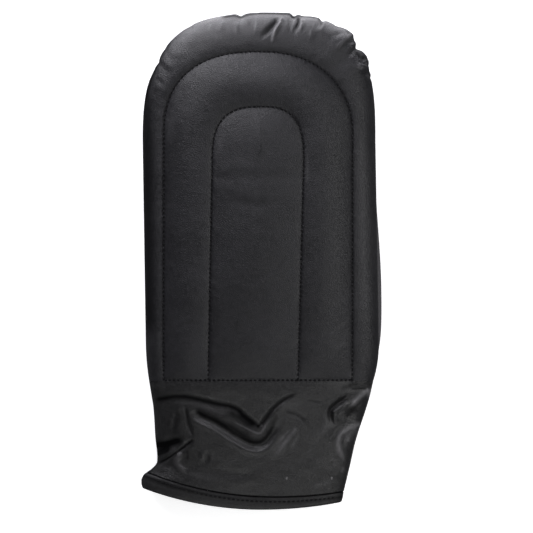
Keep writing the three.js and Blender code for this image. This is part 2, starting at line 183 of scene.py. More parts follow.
# Creases are paths of points in millimetres, across from the middle and up (on the back) or
# down (on the cuff) from the bottom seam. depth, lip (a ridge on the left of the path's own
# heading) and width are in millimetres; spread widens the valley's left side; opens and closes
# are the shares of the run over which the crease fades in and out.
TIP_CREASES = table(
    "depth lip width opens closes path",
    (1.5, 0.3, 1.25, 0.1, 0.5, [(9, 195), (5.4, 190.5), (1.6, 186.8), (-1.4, 183.6)]),
    (-1.1, 0, 0.8, 0.05, 0.5, [(11.6, 195.8), (9.4, 191.6), (7, 187), (5, 181)]),
    (1.2, 0.5, 0.95, 0.05, 0.6, [(20.2, 196), (19.2, 191.6), (16.8, 186.8)]),
    (-0.6, 0, 0.9, 0.1, 0.6, [(22.4, 195.5), (22, 191.5), (20.6, 187.5)]),
    (0.8, 0.3, 0.8, 0.05, 0.6, [(32.6, 194.4), (32.2, 192), (30.6, 189.6)]),
    (-0.7, -0.3, 1.3, 0.15, 0.5, [(49.6, 186.6), (44.6, 183.4), (41, 179.8), (38.6, 176.4)]),
    (0.4, 0.2, 1.2, 0.3, 0.5, [(45, 188), (41, 186.4), (36.5, 186)]),
    (1.1, 0.5, 1, 0.3, 0.2, [(51.2, 178), (52.8, 174.8), (55.6, 172.2)]),
    (-0.8, -0.5, 0.9, 0.4, 0.2, [(50, 170.6), (54, 169.2), (57.8, 167.4)]),
    (0.7, 0.5, 0.9, 0.4, 0.2, [(52.6, 166.8), (56, 165.8), (59.6, 162.4)]),
    (0.15, 0.2, 1.4, 0.1, 0.5, [(-55.6, 171.6), (-52.6, 168.8), (-49.6, 164)]),
    (0.18, 0.15, 1.2, 0.1, 0.5, [(-57.6, 163.4), (-54.6, 161), (-52.8, 157.4)]),
    (-0.4, 0, 1.6, 0.2, 0.5, [(-20.6, 194.6), (-21.6, 190.6), (-23.8, 187)]),
    (-0.35, 0, 1.4, 0.2, 0.5, [(-14, 194), (-13.6, 190), (-14.6, 186)]),
    (-0.3, 0, 2.2, 0.3, 0.5, [(-37, 190.6), (-37.6, 185), (-40, 180.4)]),
    (-0.35, 0, 1.5, 0.3, 0.5, [(26, 193.4), (27, 187), (25.6, 181.4)]),
)

# Faint lines in the padded leather, most of them aslant below the thumb side's seam
PAD_CREASES = table(
    "depth lip width opens closes path",
    (0.22, 0.12, 1.1, 0.3, 0.5, [(48, 36), (38, 27), (28, 20.5)]),
    (0.2, 0.12, 1.1, 0.3, 0.5, [(47, 49), (37, 39), (24, 31)]),
    (0.22, 0.1, 1, 0.3, 0.5, [(46, 24), (35, 14), (27, 10)]),
    (0.16, 0.1, 1.4, 0.4, 0.4, [(17, 70), (4, 59), (-9, 51)]),
    (0.36, 0.1, 2.6, 0.15, 0.15, [(-27, 108.6), (-6, 110), (20, 109.4)]),
    (0.28, 0.1, 2.2, 0.25, 0.25, [(-22, 97), (-6, 95.4), (16, 95.6)]),
    (0.14, 0.08, 1.2, 0.4, 0.4, [(-48, 27), (-38, 31), (-31, 30)]),
    (0.14, 0.1, 1, 0.4, 0.4, [(1, 26), (7, 21), (12, 22)]),
)

# The palm edge on the thumb side, from the bottom seam at 0 to the shoulder at 1: flare runs
# from the palm seam at 0 to PALM_FLARE past the pad's edge at 1
PALM_EDGE = table(
    "at flare",
    (0, 0), (0.07, 0.3), (0.2, 0.85), (0.35, 1), (0.47, 0.97), (0.6, 0.8), (0.73, 0.6),
    (0.87, 0.52), (1, 0.5), (1.3, 0),
)

# The cuff from the bottom seam to the mouth: how far each side draws in from a taper
CUFF_SECTIONS = table(
    "at left_pull right_pull",
    (0, 0, 0), (0.125, 0.24, -0.06), (0.25, 0.47, -0.04), (0.5, 0.74, 0.1), (0.72, 1, 0.03),
    (0.8, 0.6, 0.02), (0.86, 0.12, 0.01), (0.93, -0.08, 0), (1, 0.03, 0),
)

# Two folds of the cuff whose line the creases and the painted shade share
UPPER_FOLD = [(-58, 10.4), (-52.1, 9.2), (-46.7, 8.3), (-39.7, 8.6), (-30.5, 10.6), (-23.5, 12.2),
              (-17.3, 13.3), (-12.7, 15.3), (-9.6, 18.4), (-5.7, 21.4), (-1.9, 23.8), (0.4, 24.8)]
FLARE_FOLD = [(-36.2, 30.8), (-43.5, 36.7), (-51.2, 42.1), (-57, 45.4)]

CUFF_CREASES = table(
    "depth lip width spread opens closes path",
    # The upper V: a step down, then a slow rise towards the lower V
    (1.2, 0, 1.4, 2.6, 0.08, 0.12, UPPER_FOLD),
    (1.4, 0.2, 1, 1, 0.1, 0.4, [(-1.6, 24.6), (0, 23), (2.3, 19.9), (6.2, 14.9), (11.6, 10.3),
     (16.1, 7.6), (20, 5.9)]),
    # The lower V, whose lower wall is steep and catches the light
    (2.1, 0.4, 1.5, 1.5, 0.1, 0.3, [(-37.5, 15), (-35.5, 17.2), (-31.1, 20), (-26.7, 21.9),
     (-21.9, 24.6), (-17, 28.1), (-11.6, 31.2), (-6.2, 33.9), (-2.4, 34.5), (1.4, 33.2), (4.6, 29.5),
     (7.3, 25), (9.5, 20.5), (10.5, 16.2)]),
    # The pocket beside the flare and the crease that runs down it to the hem
    (4, 0, 3.6, 0.8, 0, 0.4, [(-62, 40), (-55.9, 37.6), (-49.4, 34.6), (-42, 31)]),
    (1.4, 0, 0.9, 1, 0.2, 0.2, FLARE_FOLD),
    (-0.9, 0, 1.6, 1, 0.25, 0.4, [(-43.5, 37.8), (-45.6, 42.7), (-44, 46.4), (-38.6, 49.7)]),
    (0.9, -0.2, 1, 1, 0.15, 0.3, [(-41.3, 13), (-39.9, 21), (-38.4, 27), (-37, 30.8)]),
    (0.5, 0.2, 1.6, 1, 0.4, 0.4, [(-45.5, 15), (-46.4, 21), (-47.4, 27.5)]),
    (0.6, 0.35, 1.5, 1, 0.4, 0.4, [(-28.6, 36.6), (-29.2, 41), (-30, 45.6)]),
    # Right of the V
    (0.4, 0.2, 1.1, 1, 0.4, 0.4, [(24.6, 10.6), (28, 11), (33.6, 10.6)]),
    (0.5, 0.1, 1.5, 1, 0.4, 0.4, [(10.6, 15.3), (17, 17.2), (20.8, 19.1), (25.4, 23)]),
    (-0.5, -0.1, 2.2, 1, 0.4, 0.4, [(8.4, 41), (13.1, 34), (19.6, 24.6)]),
    (-0.7, 0, 3.8, 1, 0.4, 0.4, [(38, 20), (33.6, 26.6), (25, 31.4)]),
    # The thumb side: a dark crease below the corner, then two crumpled loops
    (1.9, 0.9, 1.3, 1, 0.3, 0.2, [(40.4, 24.6), (38, 21.6), (37, 16.7), (40, 13), (47.6, 7.8)]),
    (0.9, 0.2, 1.2, 1, 0.4, 0.2, [(42.2, 4.6), (48.6, 2)]),
    (0.8, 0.4, 0.8, 1, 0.3, 0.2, [(47, 4.4), (57, 3.8)]),
    (-1.7, 0, 1.7, 1, 0.3, 0.2, [(46.4, 16.4), (50.1, 11.3), (53.9, 7.6), (58.6, 3.6)]),
    (1.2, 0, 2, 1, 0.4, 0.4, [(51.6, 15.3), (44.6, 20.5)]),
    (-1.2, -0.3, 1.9, 1, 0.1, 0.4, [(54, 22.6), (46.2, 26.1), (42.1, 29.9), (41.6, 35.3), (43.1, 40),
     (45.8, 44.4)]),
    (-0.9, 0, 1.6, 1, 0.3, 0.4, [(48.6, 29.6), (46.6, 35), (48.6, 40.6)]),
    # Faint ones
    (0.3, 0.3, 2.4, 1, 0.4, 0.4, [(-26, 47), (-12, 50), (2, 48.6)]),
    (0.3, 0.3, 2.6, 1, 0.4, 0.4, [(18, 44), (28, 41), (36, 43.6)]),
    (0.8, 0.2, 0.8, 1, 0, 0.5, [(5.6, 0.2), (5.9, 3.8)]),
    (-0.3, 0, 0.9, 1, 0.4, 0.4, [(-7, 6.6), (-4.4, 9.6), (-3.8, 12.6)]),
)

# Painted shade (depth above 0) and painted highlights (below 0) on the puckers of the fingertips, in
# the same way as on the folds of the cuff below
TIP_SHADE_AND_HIGHLIGHTS = table(
    "depth width opens closes path",
    (1, 0.8, 0.1, 0, [(-23, 195.8), (-18, 196.6), (-14.2, 197), (-11.1, 196.1), (-6.8, 197.7),
     (0, 198.3), (8.8, 198.2), (14.9, 197.8), (16.8, 195.7)]),
    (0.95, 0.8, 0, 0.1, [(16.8, 195.7), (18.4, 196.3), (20.6, 197), (29.7, 196.3), (32.4, 194.2)]),
    (0.85, 0.9, 0.2, 0.2, [(-45, 186.4), (-48.4, 184.1), (-52.6, 178.7), (-55.4, 174), (-56.6, 170.1),
     (-58.6, 165.2), (-60.4, 159.8), (-61.8, 154.4), (-63, 147.4)]),
    (0.45, 1.3, 0.1, 0.4, [(9, 194.8), (4.4, 190.2), (0.3, 185.2)]),
    (0.5, 0.8, 0.1, 0.4, [(20.3, 195.6), (19.3, 191.6), (18.1, 187.9)]),
    (0.4, 0.7, 0.1, 0.5, [(33, 194), (31, 190)]),
    (0.35, 1.5, 0.2, 0.3, [(42.4, 189), (38, 186.6), (35.6, 183.6)]),
    (0.6, 1.5, 0.2, 0.2, [(49.4, 178.4), (52.4, 175), (55.4, 172.4)]),
    (0.5, 1.4, 0.2, 0.2, [(58.6, 172.6), (60.4, 166)]),
    (-0.9, 0.65, 0.1, 0.2, [(10.5, 194.4), (7.8, 191.2), (6.4, 186.6), (5.1, 181.6)]),
    (-0.5, 0.8, 0.1, 0.4, [(22, 194), (20.9, 190.6), (19.6, 187.6)]),
    (-0.25, 0.9, 0.1, 0.5, [(49.6, 187), (42.9, 182), (39.2, 177.6)]),
    (-0.3, 0.7, 0.2, 0.5, [(-13, 195.6), (-13.6, 190), (-14.4, 184.4)]),
    (-0.3, 0.6, 0.2, 0.5, [(-2.6, 195), (-3.6, 190), (-4.8, 185.6)]),
    (0.2, 1, 0.2, 0.5, [(-6.4, 194.6), (-7, 190)]),
    (-0.3, 0.6, 0.2, 0.5, [(28.6, 194), (27, 189.6), (24.6, 184.6)]),
    (-0.2, 0.9, 0.2, 0.5, [(-27.6, 193), (-28.6, 187.6)]),
    (-0.2, 0.6, 0.2, 0.4, [(45, 190), (40.6, 190.4)]),
    (-0.45, 0.6, 0.2, 0.3, [(51, 170.6), (55.2, 168)]),
    (-0.4, 0.6, 0.2, 0.3, [(55.6, 171.8), (57.2, 170.4)]),
    (-0.35, 0.6, 0.2, 0.3, [(56, 165.8), (58.4, 163.6)]),
    # Painted highlights on the shoulders of the quilting, and painted shade down the little-finger
    # side
    (-0.1, 2.2, 0.3, 0.4, [(-20, 137), (-22.6, 129), (-23.4, 118)]),
    (-0.07, 3.4, 0.3, 0.4, [(-48.6, 148), (-49.4, 136), (-49, 124)]),
    (-0.12, 1.1, 0.3, 0.4, [(23.6, 127), (24.4, 115), (24.2, 103)]),
    (0.75, 4, 0.1, 0.1, [(-62.4, 160), (-61.6, 90), (-60.6, 20)]),
    (-0.09, 5, 0.2, 0.2, [(52, 140), (55, 80), (55.4, 26)]),
    (-0.15, 5, 0.2, 0.2, [(-34, 188.6), (0, 194), (33, 189)]),
)

# Painted shade and painted highlights on the folds of the cuff, on paths like those of the creases:
# depth above 0 paints shade down in a deep fold, and below 0 paints a highlight along a ridge, except
# the two pale specks at the end
CUFF_SHADE_HIGHLIGHTS_AND_SPECKS = table(
    "depth width opens closes path",
    (0.95, 1.35, 0.05, 0.1, UPPER_FOLD),
    (0.85, 0.95, 0.05, 0.15, [(-3, 25), (0, 23), (2.3, 19.9), (6.2, 14.9), (11.6, 10.3), (16.1, 7.6),
     (20.4, 5.7)]),
    (0.75, 1.9, 0.25, 0.2, [(-20, 15.4), (-13.6, 18.6), (-8.4, 22.4), (-2.4, 26)]),
    (0.85, 2, 0.05, 0.4, [(-36.6, 15.2), (-32, 17.4), (-26.6, 19.6), (-20.4, 23), (-14.3, 26.2),
     (-8, 30.4), (-5, 32), (-1.6, 32.2), (1.5, 30.8), (4.6, 26.8), (6, 23), (7.7, 18.4), (9.6, 15)]),
    (0.3, 1.8, 0.2, 0.2, [(2.6, 29.6), (5.4, 25.6), (7.4, 20.6), (9.4, 16.6)]),
    (-0.1, 1.2, 0.06, 0.2, [(-35, 18.6), (-32.7, 21.1), (-28.1, 22.8), (-23.5, 24.8), (-18.8, 28.2),
     (-14.3, 31.5), (-9.6, 34.3), (-5, 35.8), (-1.1, 36.1), (2.4, 34.9), (5.9, 31.2), (8.6, 26.6)]),
    (-0.6, 0.5, 0.4, 0.3, [(-19.3, 19.5), (-11.6, 23.4), (-4, 27.2), (-0.3, 27.6), (3.3, 22),
     (7.6, 16.9)]),
    # Beside the flare
    (1.3, 1.8, 0, 0.25, [(-58.5, 34.6), (-52, 34), (-46, 32.4), (-41.4, 31)]),
    (1.2, 2, 0, 0.4, [(-58.5, 40.4), (-54.6, 38.6), (-50.6, 37), (-47.6, 34.4)]),
    (0.4, 2, 0, 0.3, [(-60.5, 48.6), (-56, 47.4), (-51.6, 47.4)]),
    (0.95, 0.85, 0.1, 0.2, FLARE_FOLD),
    (-0.12, 0.6, 0.3, 0.3, [(-42.6, 34.6), (-47, 37.9), (-51, 40.6)]),
    (0.55, 2.2, 0, 0.3, [(-62, 51), (-55, 50), (-49, 48)]),
    (-0.24, 1.5, 0.1, 0.3, [(-43.5, 37.4), (-45.6, 42.7), (-44, 46.4), (-38.6, 49.7)]),
    (-0.1, 2, 0.3, 0.4, [(-42.4, 48.6), (-33.2, 50.8), (-19.7, 53.3)]),
    (0.5, 0.8, 0.2, 0.4, [(-40, 36.5), (-39.7, 44)]),
    (0.3, 1.3, 0.4, 0.4, [(-28.9, 37.4), (-29.7, 43.6)]),
    (-0.12, 1.2, 0.4, 0.4, [(-26.2, 38.4), (-26.7, 43.6)]),
    (0.35, 1.8, 0.3, 0.1, [(-45.3, 15), (-46.2, 21), (-47.2, 29)]),
    (0.55, 0.8, 0.2, 0.3, [(-41.3, 12), (-39.9, 21), (-38.9, 26.4)]),
    (0.4, 0.6, 0.3, 0.1, [(-36.9, 22.1), (-36.8, 31)]),
    # Right of the V
    (0.4, 1.2, 0.2, 0.3, [(11.6, 15.7), (17, 17.2), (20.8, 19.1), (25.4, 23)]),
    (0.3, 0.8, 0.4, 0.4, [(24, 10.6), (32.6, 11)]),
    (-0.1, 2, 0.3, 0.4, [(9, 13.6), (17.4, 12.4), (24, 13.6)]),
    (-0.16, 1.3, 0.3, 0.4, [(10.8, 18), (9.6, 22), (7.6, 28.6)]),
    (-0.42, 0.95, 0.1, 0.5, [(19.4, 24.4), (13.1, 32.2), (8.4, 38.3), (4.6, 43)]),
    (-0.26, 0.65, 0.3, 0.4, [(16.6, 24.6), (11.6, 30.2), (7.4, 34.6)]),
    (-0.2, 0.7, 0.3, 0.4, [(20.6, 28), (15, 37.3)]),
    (-0.14, 3, 0.3, 0.4, [(13.6, 28), (10.6, 33), (5.6, 40)]),
    (-0.13, 3.4, 0.4, 0.4, [(36, 18), (33.8, 26), (24.6, 32.2)]),
    # The thumb side
    (0.42, 1.2, 0.3, 0.15, [(40.6, 24.4), (37.6, 20.6), (37, 16.7), (40, 13), (47.4, 8)]),
    (-0.25, 0.7, 0.2, 0.3, [(47.6, 10.4), (44, 14.5), (40.9, 19.4)]),
    (0.35, 2.2, 0.3, 0.3, [(52.4, 14.6), (44.6, 20.5)]),
    (0.45, 1.3, 0.3, 0.2, [(42, 4.8), (49, 1.6)]),
    (0.5, 0.7, 0.2, 0.2, [(47.4, 4.1), (57.2, 3.9)]),
    (-0.9, 1.25, 0.3, 0.1, [(47.4, 14.8), (50.1, 11.3), (53.9, 7.6), (58.4, 3.9)]),
    (-0.6, 1.3, 0.1, 0.4, [(60.4, 3.4), (57, 9.6)]),
    (0.4, 1.2, 0.2, 0.2, [(46, 1.4), (51, 1.6), (58, 1.4)]),
    (-0.7, 1.35, 0.05, 0.25, [(53.6, 22.8), (46.2, 26.1), (42.1, 29.9), (41.6, 35.3), (43.1, 40),
     (45.6, 44)]),
    (-0.35, 2.3, 0.2, 0.3, [(52, 24.6), (47, 29), (46, 34.6)]),
    (-0.16, 1.3, 0.3, 0.3, [(27, 57), (32, 56), (38.4, 53.4)]),
    (-0.3, 1, 0.3, 0.3, [(43, 50), (44.6, 46)]),
    # Two pale specks above the hem
    (-3, 0.4, 0, 0, [(13.3, 52.3), (13.9, 52.3)]),
    (-3, 0.4, 0, 0, [(37.6, 52.3), (38.3, 52.6)]),
)

# Slow waves of the leather: heading in degrees, length in millimetres
SLOW_WAVES = table(
    "length heading phase share",
    (61, 24, 0.4, 1),
    (43, -38, 2.1, 0.8),
    (29, 81, 4.4, 0.5),
    (21, -66, 1.3, 0.3),
)
QUICK_WAVES = table(
    "length heading phase share",
    (13, 14, 0.9, 1),
    (9.4, -49, 3.7, 0.8),
    (7.1, 67, 5.2, 0.6),
    (5.3, -81, 2.6, 0.45),
)
SEAM_WAVES = table(
    "length phase share",
    (17, 0.3, 0.8),
    (11.3, 2.2, 1),
    (7.7, 4.6, 0.8),
    (5.2, 1.1, 0.5),
)


def mix(a, b, share):
    return a + (b - a) * share


def near(distance, reach):
    return np.exp(-(distance / reach) ** 2)


def eased(share):
    share = np.clip(share, 0, 1)
    return share * share * (3 - 2 * share)


def bent(value, power):
    """A sine or cosine raised to a power, with its sign kept."""
    return np.sign(value) * np.abs(value) ** power


def read_table(rows, column, at):
    """A column of a table at any place, on a smooth curve through its rows."""
    places = np.array([row["at"] for row in rows])
    values = np.array([row[column] for row in rows])
    slopes = np.gradient(values, places)
    slopes[1:-1] = (values[2:] - values[:-2]) / (places[2:] - places[:-2])
    i = np.clip(np.searchsorted(places, at, side="right") - 1, 0, len(rows) - 2)
    span = places[i + 1] - places[i]
    t = np.clip((at - places[i]) / span, 0, 1)
    leaving = t * (1 - t) ** 2 * span * slopes[i]
    arriving = t * t * (t - 1) * span * slopes[i + 1]
    return mix(values[i], values[i + 1], eased(t)) + leaving + arriving


def run_along(points):
    """Distance along a path from its start to each of its points."""
    return np.concatenate([[0], np.cumsum(np.linalg.norm(np.diff(points, axis=0), axis=-1))])


def round_tips(u):
    """Place round the fingertips, from the left shoulder at 0 to the right one at 1."""
    return (u - SIDE_SHARE) / (1 - 2 * SIDE_SHARE)


def along_line(name, u):
    """Points of a line round the hand; u runs from its left end at 0 to its right at 1."""
    line = QUILT_LINES[name]
    turn = np.linspace(math.pi, 0, ARCH_STEPS)
    out, up = np.cos(turn), np.maximum(0, np.sin(turn))
    power = 2 / np.where(out < 0, line["left_round"], line["right_round"])
    half = np.where(out < 0, line["left_top"], line["right_top"]) * HALF_WIDTH
    shoulder = line["shoulder"] * PAD_LENGTH
    arch_x = bent(out, power) * half
    arch_y = mix(shoulder, line["top"] * PAD_LENGTH, up ** power)
    gone = run_along(np.stack([arch_x, arch_y], -1))
    around = np.clip(round_tips(u), 0, 1) * gone[-1]
    climb = np.clip(np.minimum(u, 1 - u) / SIDE_SHARE, 0, 1)
    left = -mix(line["left"], line["left_top"], climb) * HALF_WIDTH
    right = mix(line["right"], line["right_top"], climb) * HALF_WIDTH
    side = climb < 1
    x = np.where(side, np.where(u < 0.5, left, right), np.interp(around, gone, arch_x))
    y = np.where(side, climb * shoulder, np.interp(around, gone, arch_y))
    return np.stack([x, y], -1)


def gone_along(name, u):
    """Distance from a line's left end to each u, measured in plan."""
    return run_along(along_line(name, u))


def free_of_seam(y):
    """0 at the bottom seam and 1 where the padding is free of it."""
    return 1 - np.maximum(0, 1 - y / CORNER_TUCK_LENGTH) ** 2


def past_seam(y):
    """0 at the bottom seam and 1 a little above it, for the waves and creases."""
    return np.clip(y / BACK_FLAT_START, 0, 1)


def pad_edge(u):
    """The pad's own edge, whose lower corners tuck in to the bottom seam."""
    points = along_line("edge", u)
    tuck = 1 - free_of_seam(points[..., 1])
    amount = np.where(points[..., 0] < 0, LEFT_CORNER_TUCK, RIGHT_CORNER_TUCK)
    points[..., 0] -= np.sign(points[..., 0]) * tuck * amount
    return points


def arch_share(across):
    return (1 - np.minimum(1, np.abs(across)) ** ARCH_ROUNDNESS) ** (1 / ARCH_ROUNDNESS)


def back_height(x, y):
    """Height of the back through its seams, before the padding swells between them."""
    rise = read_table(BACK_PROFILE, "rise", y / PAD_LENGTH)
    crown = mix(WRIST_HEIGHT, PAD_HEIGHT - QUILT_RISE, rise)
    belt = (SEAM_HEIGHT + WRIST_HEIGHT * CUFF_BELT) / 2
    return mix(belt, crown, arch_share(x / HALF_WIDTH))


def waves(rows, x, y=0.0):
    """Sum of slow waves over the leather, or of those along a seam, about -1 to 1."""
    total = 0
    for row in rows:
        heading = math.radians(row.get("heading", 0))
        along = x * math.cos(heading) + y * math.sin(heading)
        total = total + row["share"] * np.sin(2 * math.pi * along / row["length"] + row["phase"])
    return total / sum(row["share"] for row in rows)


def even_pitch(length):
    """The stitch pitch that fills a length with whole stitches."""
    return length / round(length / STITCH_PITCH)


def stitch_tug(s, length):
    """The thread's pull along a seam: 1 at each needle hole and 0 between two."""
    return 0.5 + 0.5 * np.cos(2 * math.pi * s / even_pitch(length))


def seam_pull(gap, s):
    """How far a seam draws the leather down, at a gap from it and s along it."""
    pull = STITCH_PULL * mix(PULL_BETWEEN, 1, stitch_tug(s, s[-1, 0]))
    return pull * near(gap, STITCH_REACH) + SEAM_DIP * near(gap, SEAM_DIP_REACH)


def bottom_pull(x, y):
    """The bottom seam's own pull, between the two ends of the outer seam."""
    start, end = along_line("outer_seam", np.array([0.0, 1.0]))[:, 0]
    inside = eased((x - start) / 2 + 1) * eased((end - x) / 2 + 1)
    pull = STITCH_PULL * (0.6 + 0.5 * stitch_tug(x - start, end - start))
    return pull * near(y - BOTTOM_STITCH, STITCH_REACH) * inside


def normals_of(grid):
    """Unit normals of a grid of points, turned to face up or outwards."""
    normal = np.cross(np.gradient(grid, axis=1), np.gradient(grid, axis=0))
    return normal / np.maximum(np.linalg.norm(normal, axis=-1, keepdims=True), 1e-9)


def gather_depth(u, inward):
    """How far dents and puckers push the rim in; a pucker is a valley between two ridges."""
    around = round_tips(u)
    tip_length = gone_along("edge", np.linspace(SIDE_SHARE, 1 - SIDE_SHARE, 801))[-1]
    total = np.zeros(np.broadcast(u, inward).shape)
    for row in EDGE_DENTS:
        dent = near((around - row["at"]) * tip_length, row["reach"])
        total += row["depth"] * dent * (1 - inward) ** 1.5
    for row in GATHERS:
        off = (around + row["lean"] * inward - row["at"]) * tip_length / row["reach"]
        pleat = (1 - 0.5 * off ** 2) * np.exp(-off ** 2 / 2)
        total += row["depth"] * pleat * np.clip(1 - inward / row["run"], 0, 1) ** 0.8
    return total


def smooth_path(points, steps=8):
    """A Catmull-Rom curve through a crease's points."""
    points = np.array(points, float)
    ends = np.concatenate([[2 * points[0] - points[1]], points, [2 * points[-1] - points[-2]]])
    t = np.linspace(0, 1, steps, endpoint=False)[:, None]
    spans = []
    for a, b, c, d in zip(ends[:-3], ends[1:-2], ends[2:-1], ends[3:]):
        spans.append(0.5 * (2 * b + (c - a) * t + (2 * a - 5 * b + 4 * c - d) * t ** 2
                            + (3 * b - a - 3 * c + d) * t ** 3))
    return np.concatenate(spans + [points[-1:]])


def crease_relief(rows, x, y):
    """How far the creases raise the leather at each place, in millimetres."""
    total = np.zeros(x.shape)
    for row in rows:
        path, width, spread = smooth_path(row["path"]), row["width"], row.get("spread", 1)
        margin = CREASE_MARGIN * width * spread
        low, high = path.min(0) - margin, path.max(0) + margin
        close = (x > low[0]) & (x < high[0]) & (y > low[1]) & (y < high[1])
        if not close.any():
            continue
        start, run, gone = path[:-1], np.diff(path, axis=0), run_along(path)
        length = np.diff(gone)
        off_x, off_y = x[close][:, None] - start[:, 0], y[close][:, None] - start[:, 1]
        part = np.clip((off_x * run[:, 0] + off_y * run[:, 1]) / length ** 2, 0, 1)
        away = np.hypot(off_x - part * run[:, 0], off_y - part * run[:, 1])
        best = away.argmin(1)
        each = np.arange(len(best))
        side = np.sign(run[best, 0] * off_y[each, best] - run[best, 1] * off_x[each, best])
        aside = side * away[each, best]
        share = (gone[best] + part[each, best] * length[best]) / gone[-1]
        opened, closed = share / max(row["opens"], 1e-6), (1 - share) / max(row["closes"], 1e-6)
        valley = row["depth"] * near(aside, np.where(aside > 0, spread, 1) * width)
        ridge = row.get("lip", 0) * near(aside - (1 + spread) * width, 1.1 * width)
        total[close] += (ridge - valley) * eased(opened) * eased(closed)
    return total


def rim_grid(u, shares):
    """The padded roll round the pad, from the palm seam over to the outer seam."""
    u = u[:, None]
    edge, seam = pad_edge(u), along_line("outer_seam", u)
    end = mix(RIM_END_AT_WRIST, RIM_END, free_of_seam(seam[..., 1]))
    turned = mix(RIM_START, end, shares[None, :])
    inward = (1 - np.cos(turned)) / (1 - np.cos(end))
    plan = mix(edge, seam, inward[..., None])
    rise = np.sin(end) - math.sin(RIM_START)
    lift = (back_height(seam[..., 0], seam[..., 1]) - SEAM_HEIGHT) / rise
    height = SEAM_HEIGHT + lift * (np.sin(turned) - math.sin(RIM_START))
    return np.concatenate([plan, height[..., None]], -1), inward


def quilt_grid(outer, inner, u, shares, swell):
    """The leather between two quilting seams, swollen by the padding."""
    u = u[:, None]
    plan = mix(along_line(outer, u), along_line(inner, u), shares[None, :, None])
    x, y = plan[..., 0], plan[..., 1]
    swell = QUILT_RISE * swell[None, :] ** QUILT_FULLNESS * free_of_seam(y)
    return np.concatenate([plan, (back_height(x, y) + swell)[..., None]], -1)


def dress_rim(grid, inward, u):
    """Puckers, creases, soft waves and the pull of the outer seam on the rim."""
    s = gone_along("outer_seam", u)[:, None]
    x, y = grid[..., 0], grid[..., 1]
    rim_width = np.linalg.norm(pad_edge(u) - along_line("outer_seam", u), axis=-1)
    to_seam = (1 - inward) * rim_width[:, None]
    on_top = np.clip(inward * 3, 0, 1)
    at_tip = np.clip((y / PAD_LENGTH - RIM_TIP_START) / RIM_TIP_RUN, 0, 1)
    push = crease_relief(TIP_CREASES, x, y) - gather_depth(u[:, None], inward)
    push += mix(*RIM_SLOW, at_tip) * waves(SLOW_WAVES, x, y) * on_top
    push += mix(*RIM_QUICK, at_tip) * waves(QUICK_WAVES, x, y) * on_top
    push += mix(*RIM_SEAM, at_tip) * waves(SEAM_WAVES, s + 2.5 * inward) * on_top * (1 - inward)
    beside = np.exp(-to_seam / RIM_SEAM_REACH)
    push += RIM_BESIDE_SEAM * waves(SEAM_WAVES, s * 1.3 + 11) * beside
    push -= seam_pull(to_seam, s)
    return grid + normals_of(grid) * push[..., None] * free_of_seam(grid[..., 1:2] + 4)


def dress_quilt(grid, u, gaps):
    """Soft waves over a quilted stretch and the pull of each seam, at its gap from it."""
    x, y = grid[..., 0], grid[..., 1]
    rise = QUILT_SLOW * waves(SLOW_WAVES, x, y) + QUILT_QUICK * waves(QUICK_WAVES, x, y)
    rise += crease_relief(PAD_CREASES, x, y)
    for name, gap in gaps.items():
        s = gone_along(name, u)[:, None]
        beside = np.exp(-gap / QUILT_SEAM_REACH) * np.clip(gap / 2, 0, 1)
        rise += QUILT_BESIDE_SEAM * waves(SEAM_WAVES, s + 5) * beside - seam_pull(gap, s)
    grid[..., 2] += rise * past_seam(y) - bottom_pull(x, y)
    return grid


def gap_between(outer, inner, u):
    return np.linalg.norm(along_line(outer, u) - along_line(inner, u), axis=-1)[:, None]


def back_grid():
    """Every outer point of the quilted back, [round the hand][from the edge inwards]."""
    u = np.linspace(0, 1, COLUMNS + 1)
    rim_shares = np.sin(np.linspace(0, math.pi / 2, RIM_ROWS, endpoint=False)) ** 1.1
    rim, inward = rim_grid(u, rim_shares)
    share = 0.5 - 0.5 * np.cos(np.linspace(0, math.pi, BAND_ROWS, endpoint=False))
    band = quilt_grid("outer_seam", "inner_seam", u, share, np.sin(math.pi * share))
    width = gap_between("outer_seam", "inner_seam", u)
    band = dress_quilt(band, u, {"outer_seam": share * width, "inner_seam": (1 - share) * width})
    share = 1 - np.cos(np.linspace(0, math.pi / 2, MIDDLE_ROWS + 1))
    middle = quilt_grid("inner_seam", "spine", u, share, np.sin(math.pi / 2 * share))
    middle = dress_quilt(middle, u, {"inner_seam": share * gap_between("inner_seam", "spine", u)})
    return np.concatenate([dress_rim(rim, inward, u), band, middle], 1)


def cavity_grid():
    """The roof of the hand space, with fewer rows than the outside."""
    u = np.linspace(0, 1, COLUMNS + 1)[:, None]
    share = np.linspace(0, 1, CAVITY_ROWS + 1)[None, :] ** CAVITY_CROWDING
    plan = mix(along_line("cavity", u), along_line("spine", u), share[..., None])
    rise = (1 - (1 - share) ** CAVITY_ROUNDNESS) ** (1 / CAVITY_ROUNDNESS)
    height = np.broadcast_to(mix(SEAM_HEIGHT, CAVITY_HEIGHT, rise), plan.shape[:2])
    return np.concatenate([plan, height[..., None]], -1)


def choose(piece):
    bpy.ops.object.select_all(action="DESELECT")
    piece.select_set(True)
    bpy.context.view_layer.objects.active = piece


def put_mesh(name, points, faces, material):
    """A new piece from points in millimetres, placed on the glove, with its faces outwards."""
    mesh = bpy.data.meshes.new(name)
    moved = (np.asarray(points) + (0, SEAM_Y, 0)) * MM
    mesh.from_pydata(moved.tolist(), [], faces)
    piece = bpy.data.objects.new(name, mesh)
    bpy.context.scene.collection.objects.link(piece)
    choose(piece)
    bpy.ops.object.mode_set(mode="EDIT")
    bpy.ops.mesh.select_all(action="SELECT")
    bpy.ops.mesh.normals_make_consistent(inside=False)
    bpy.ops.object.mode_set(mode="OBJECT")
    bpy.ops.object.shade_smooth_by_angle(angle=SMOOTH_ANGLE)
    mesh.materials.append(material)
    return piece


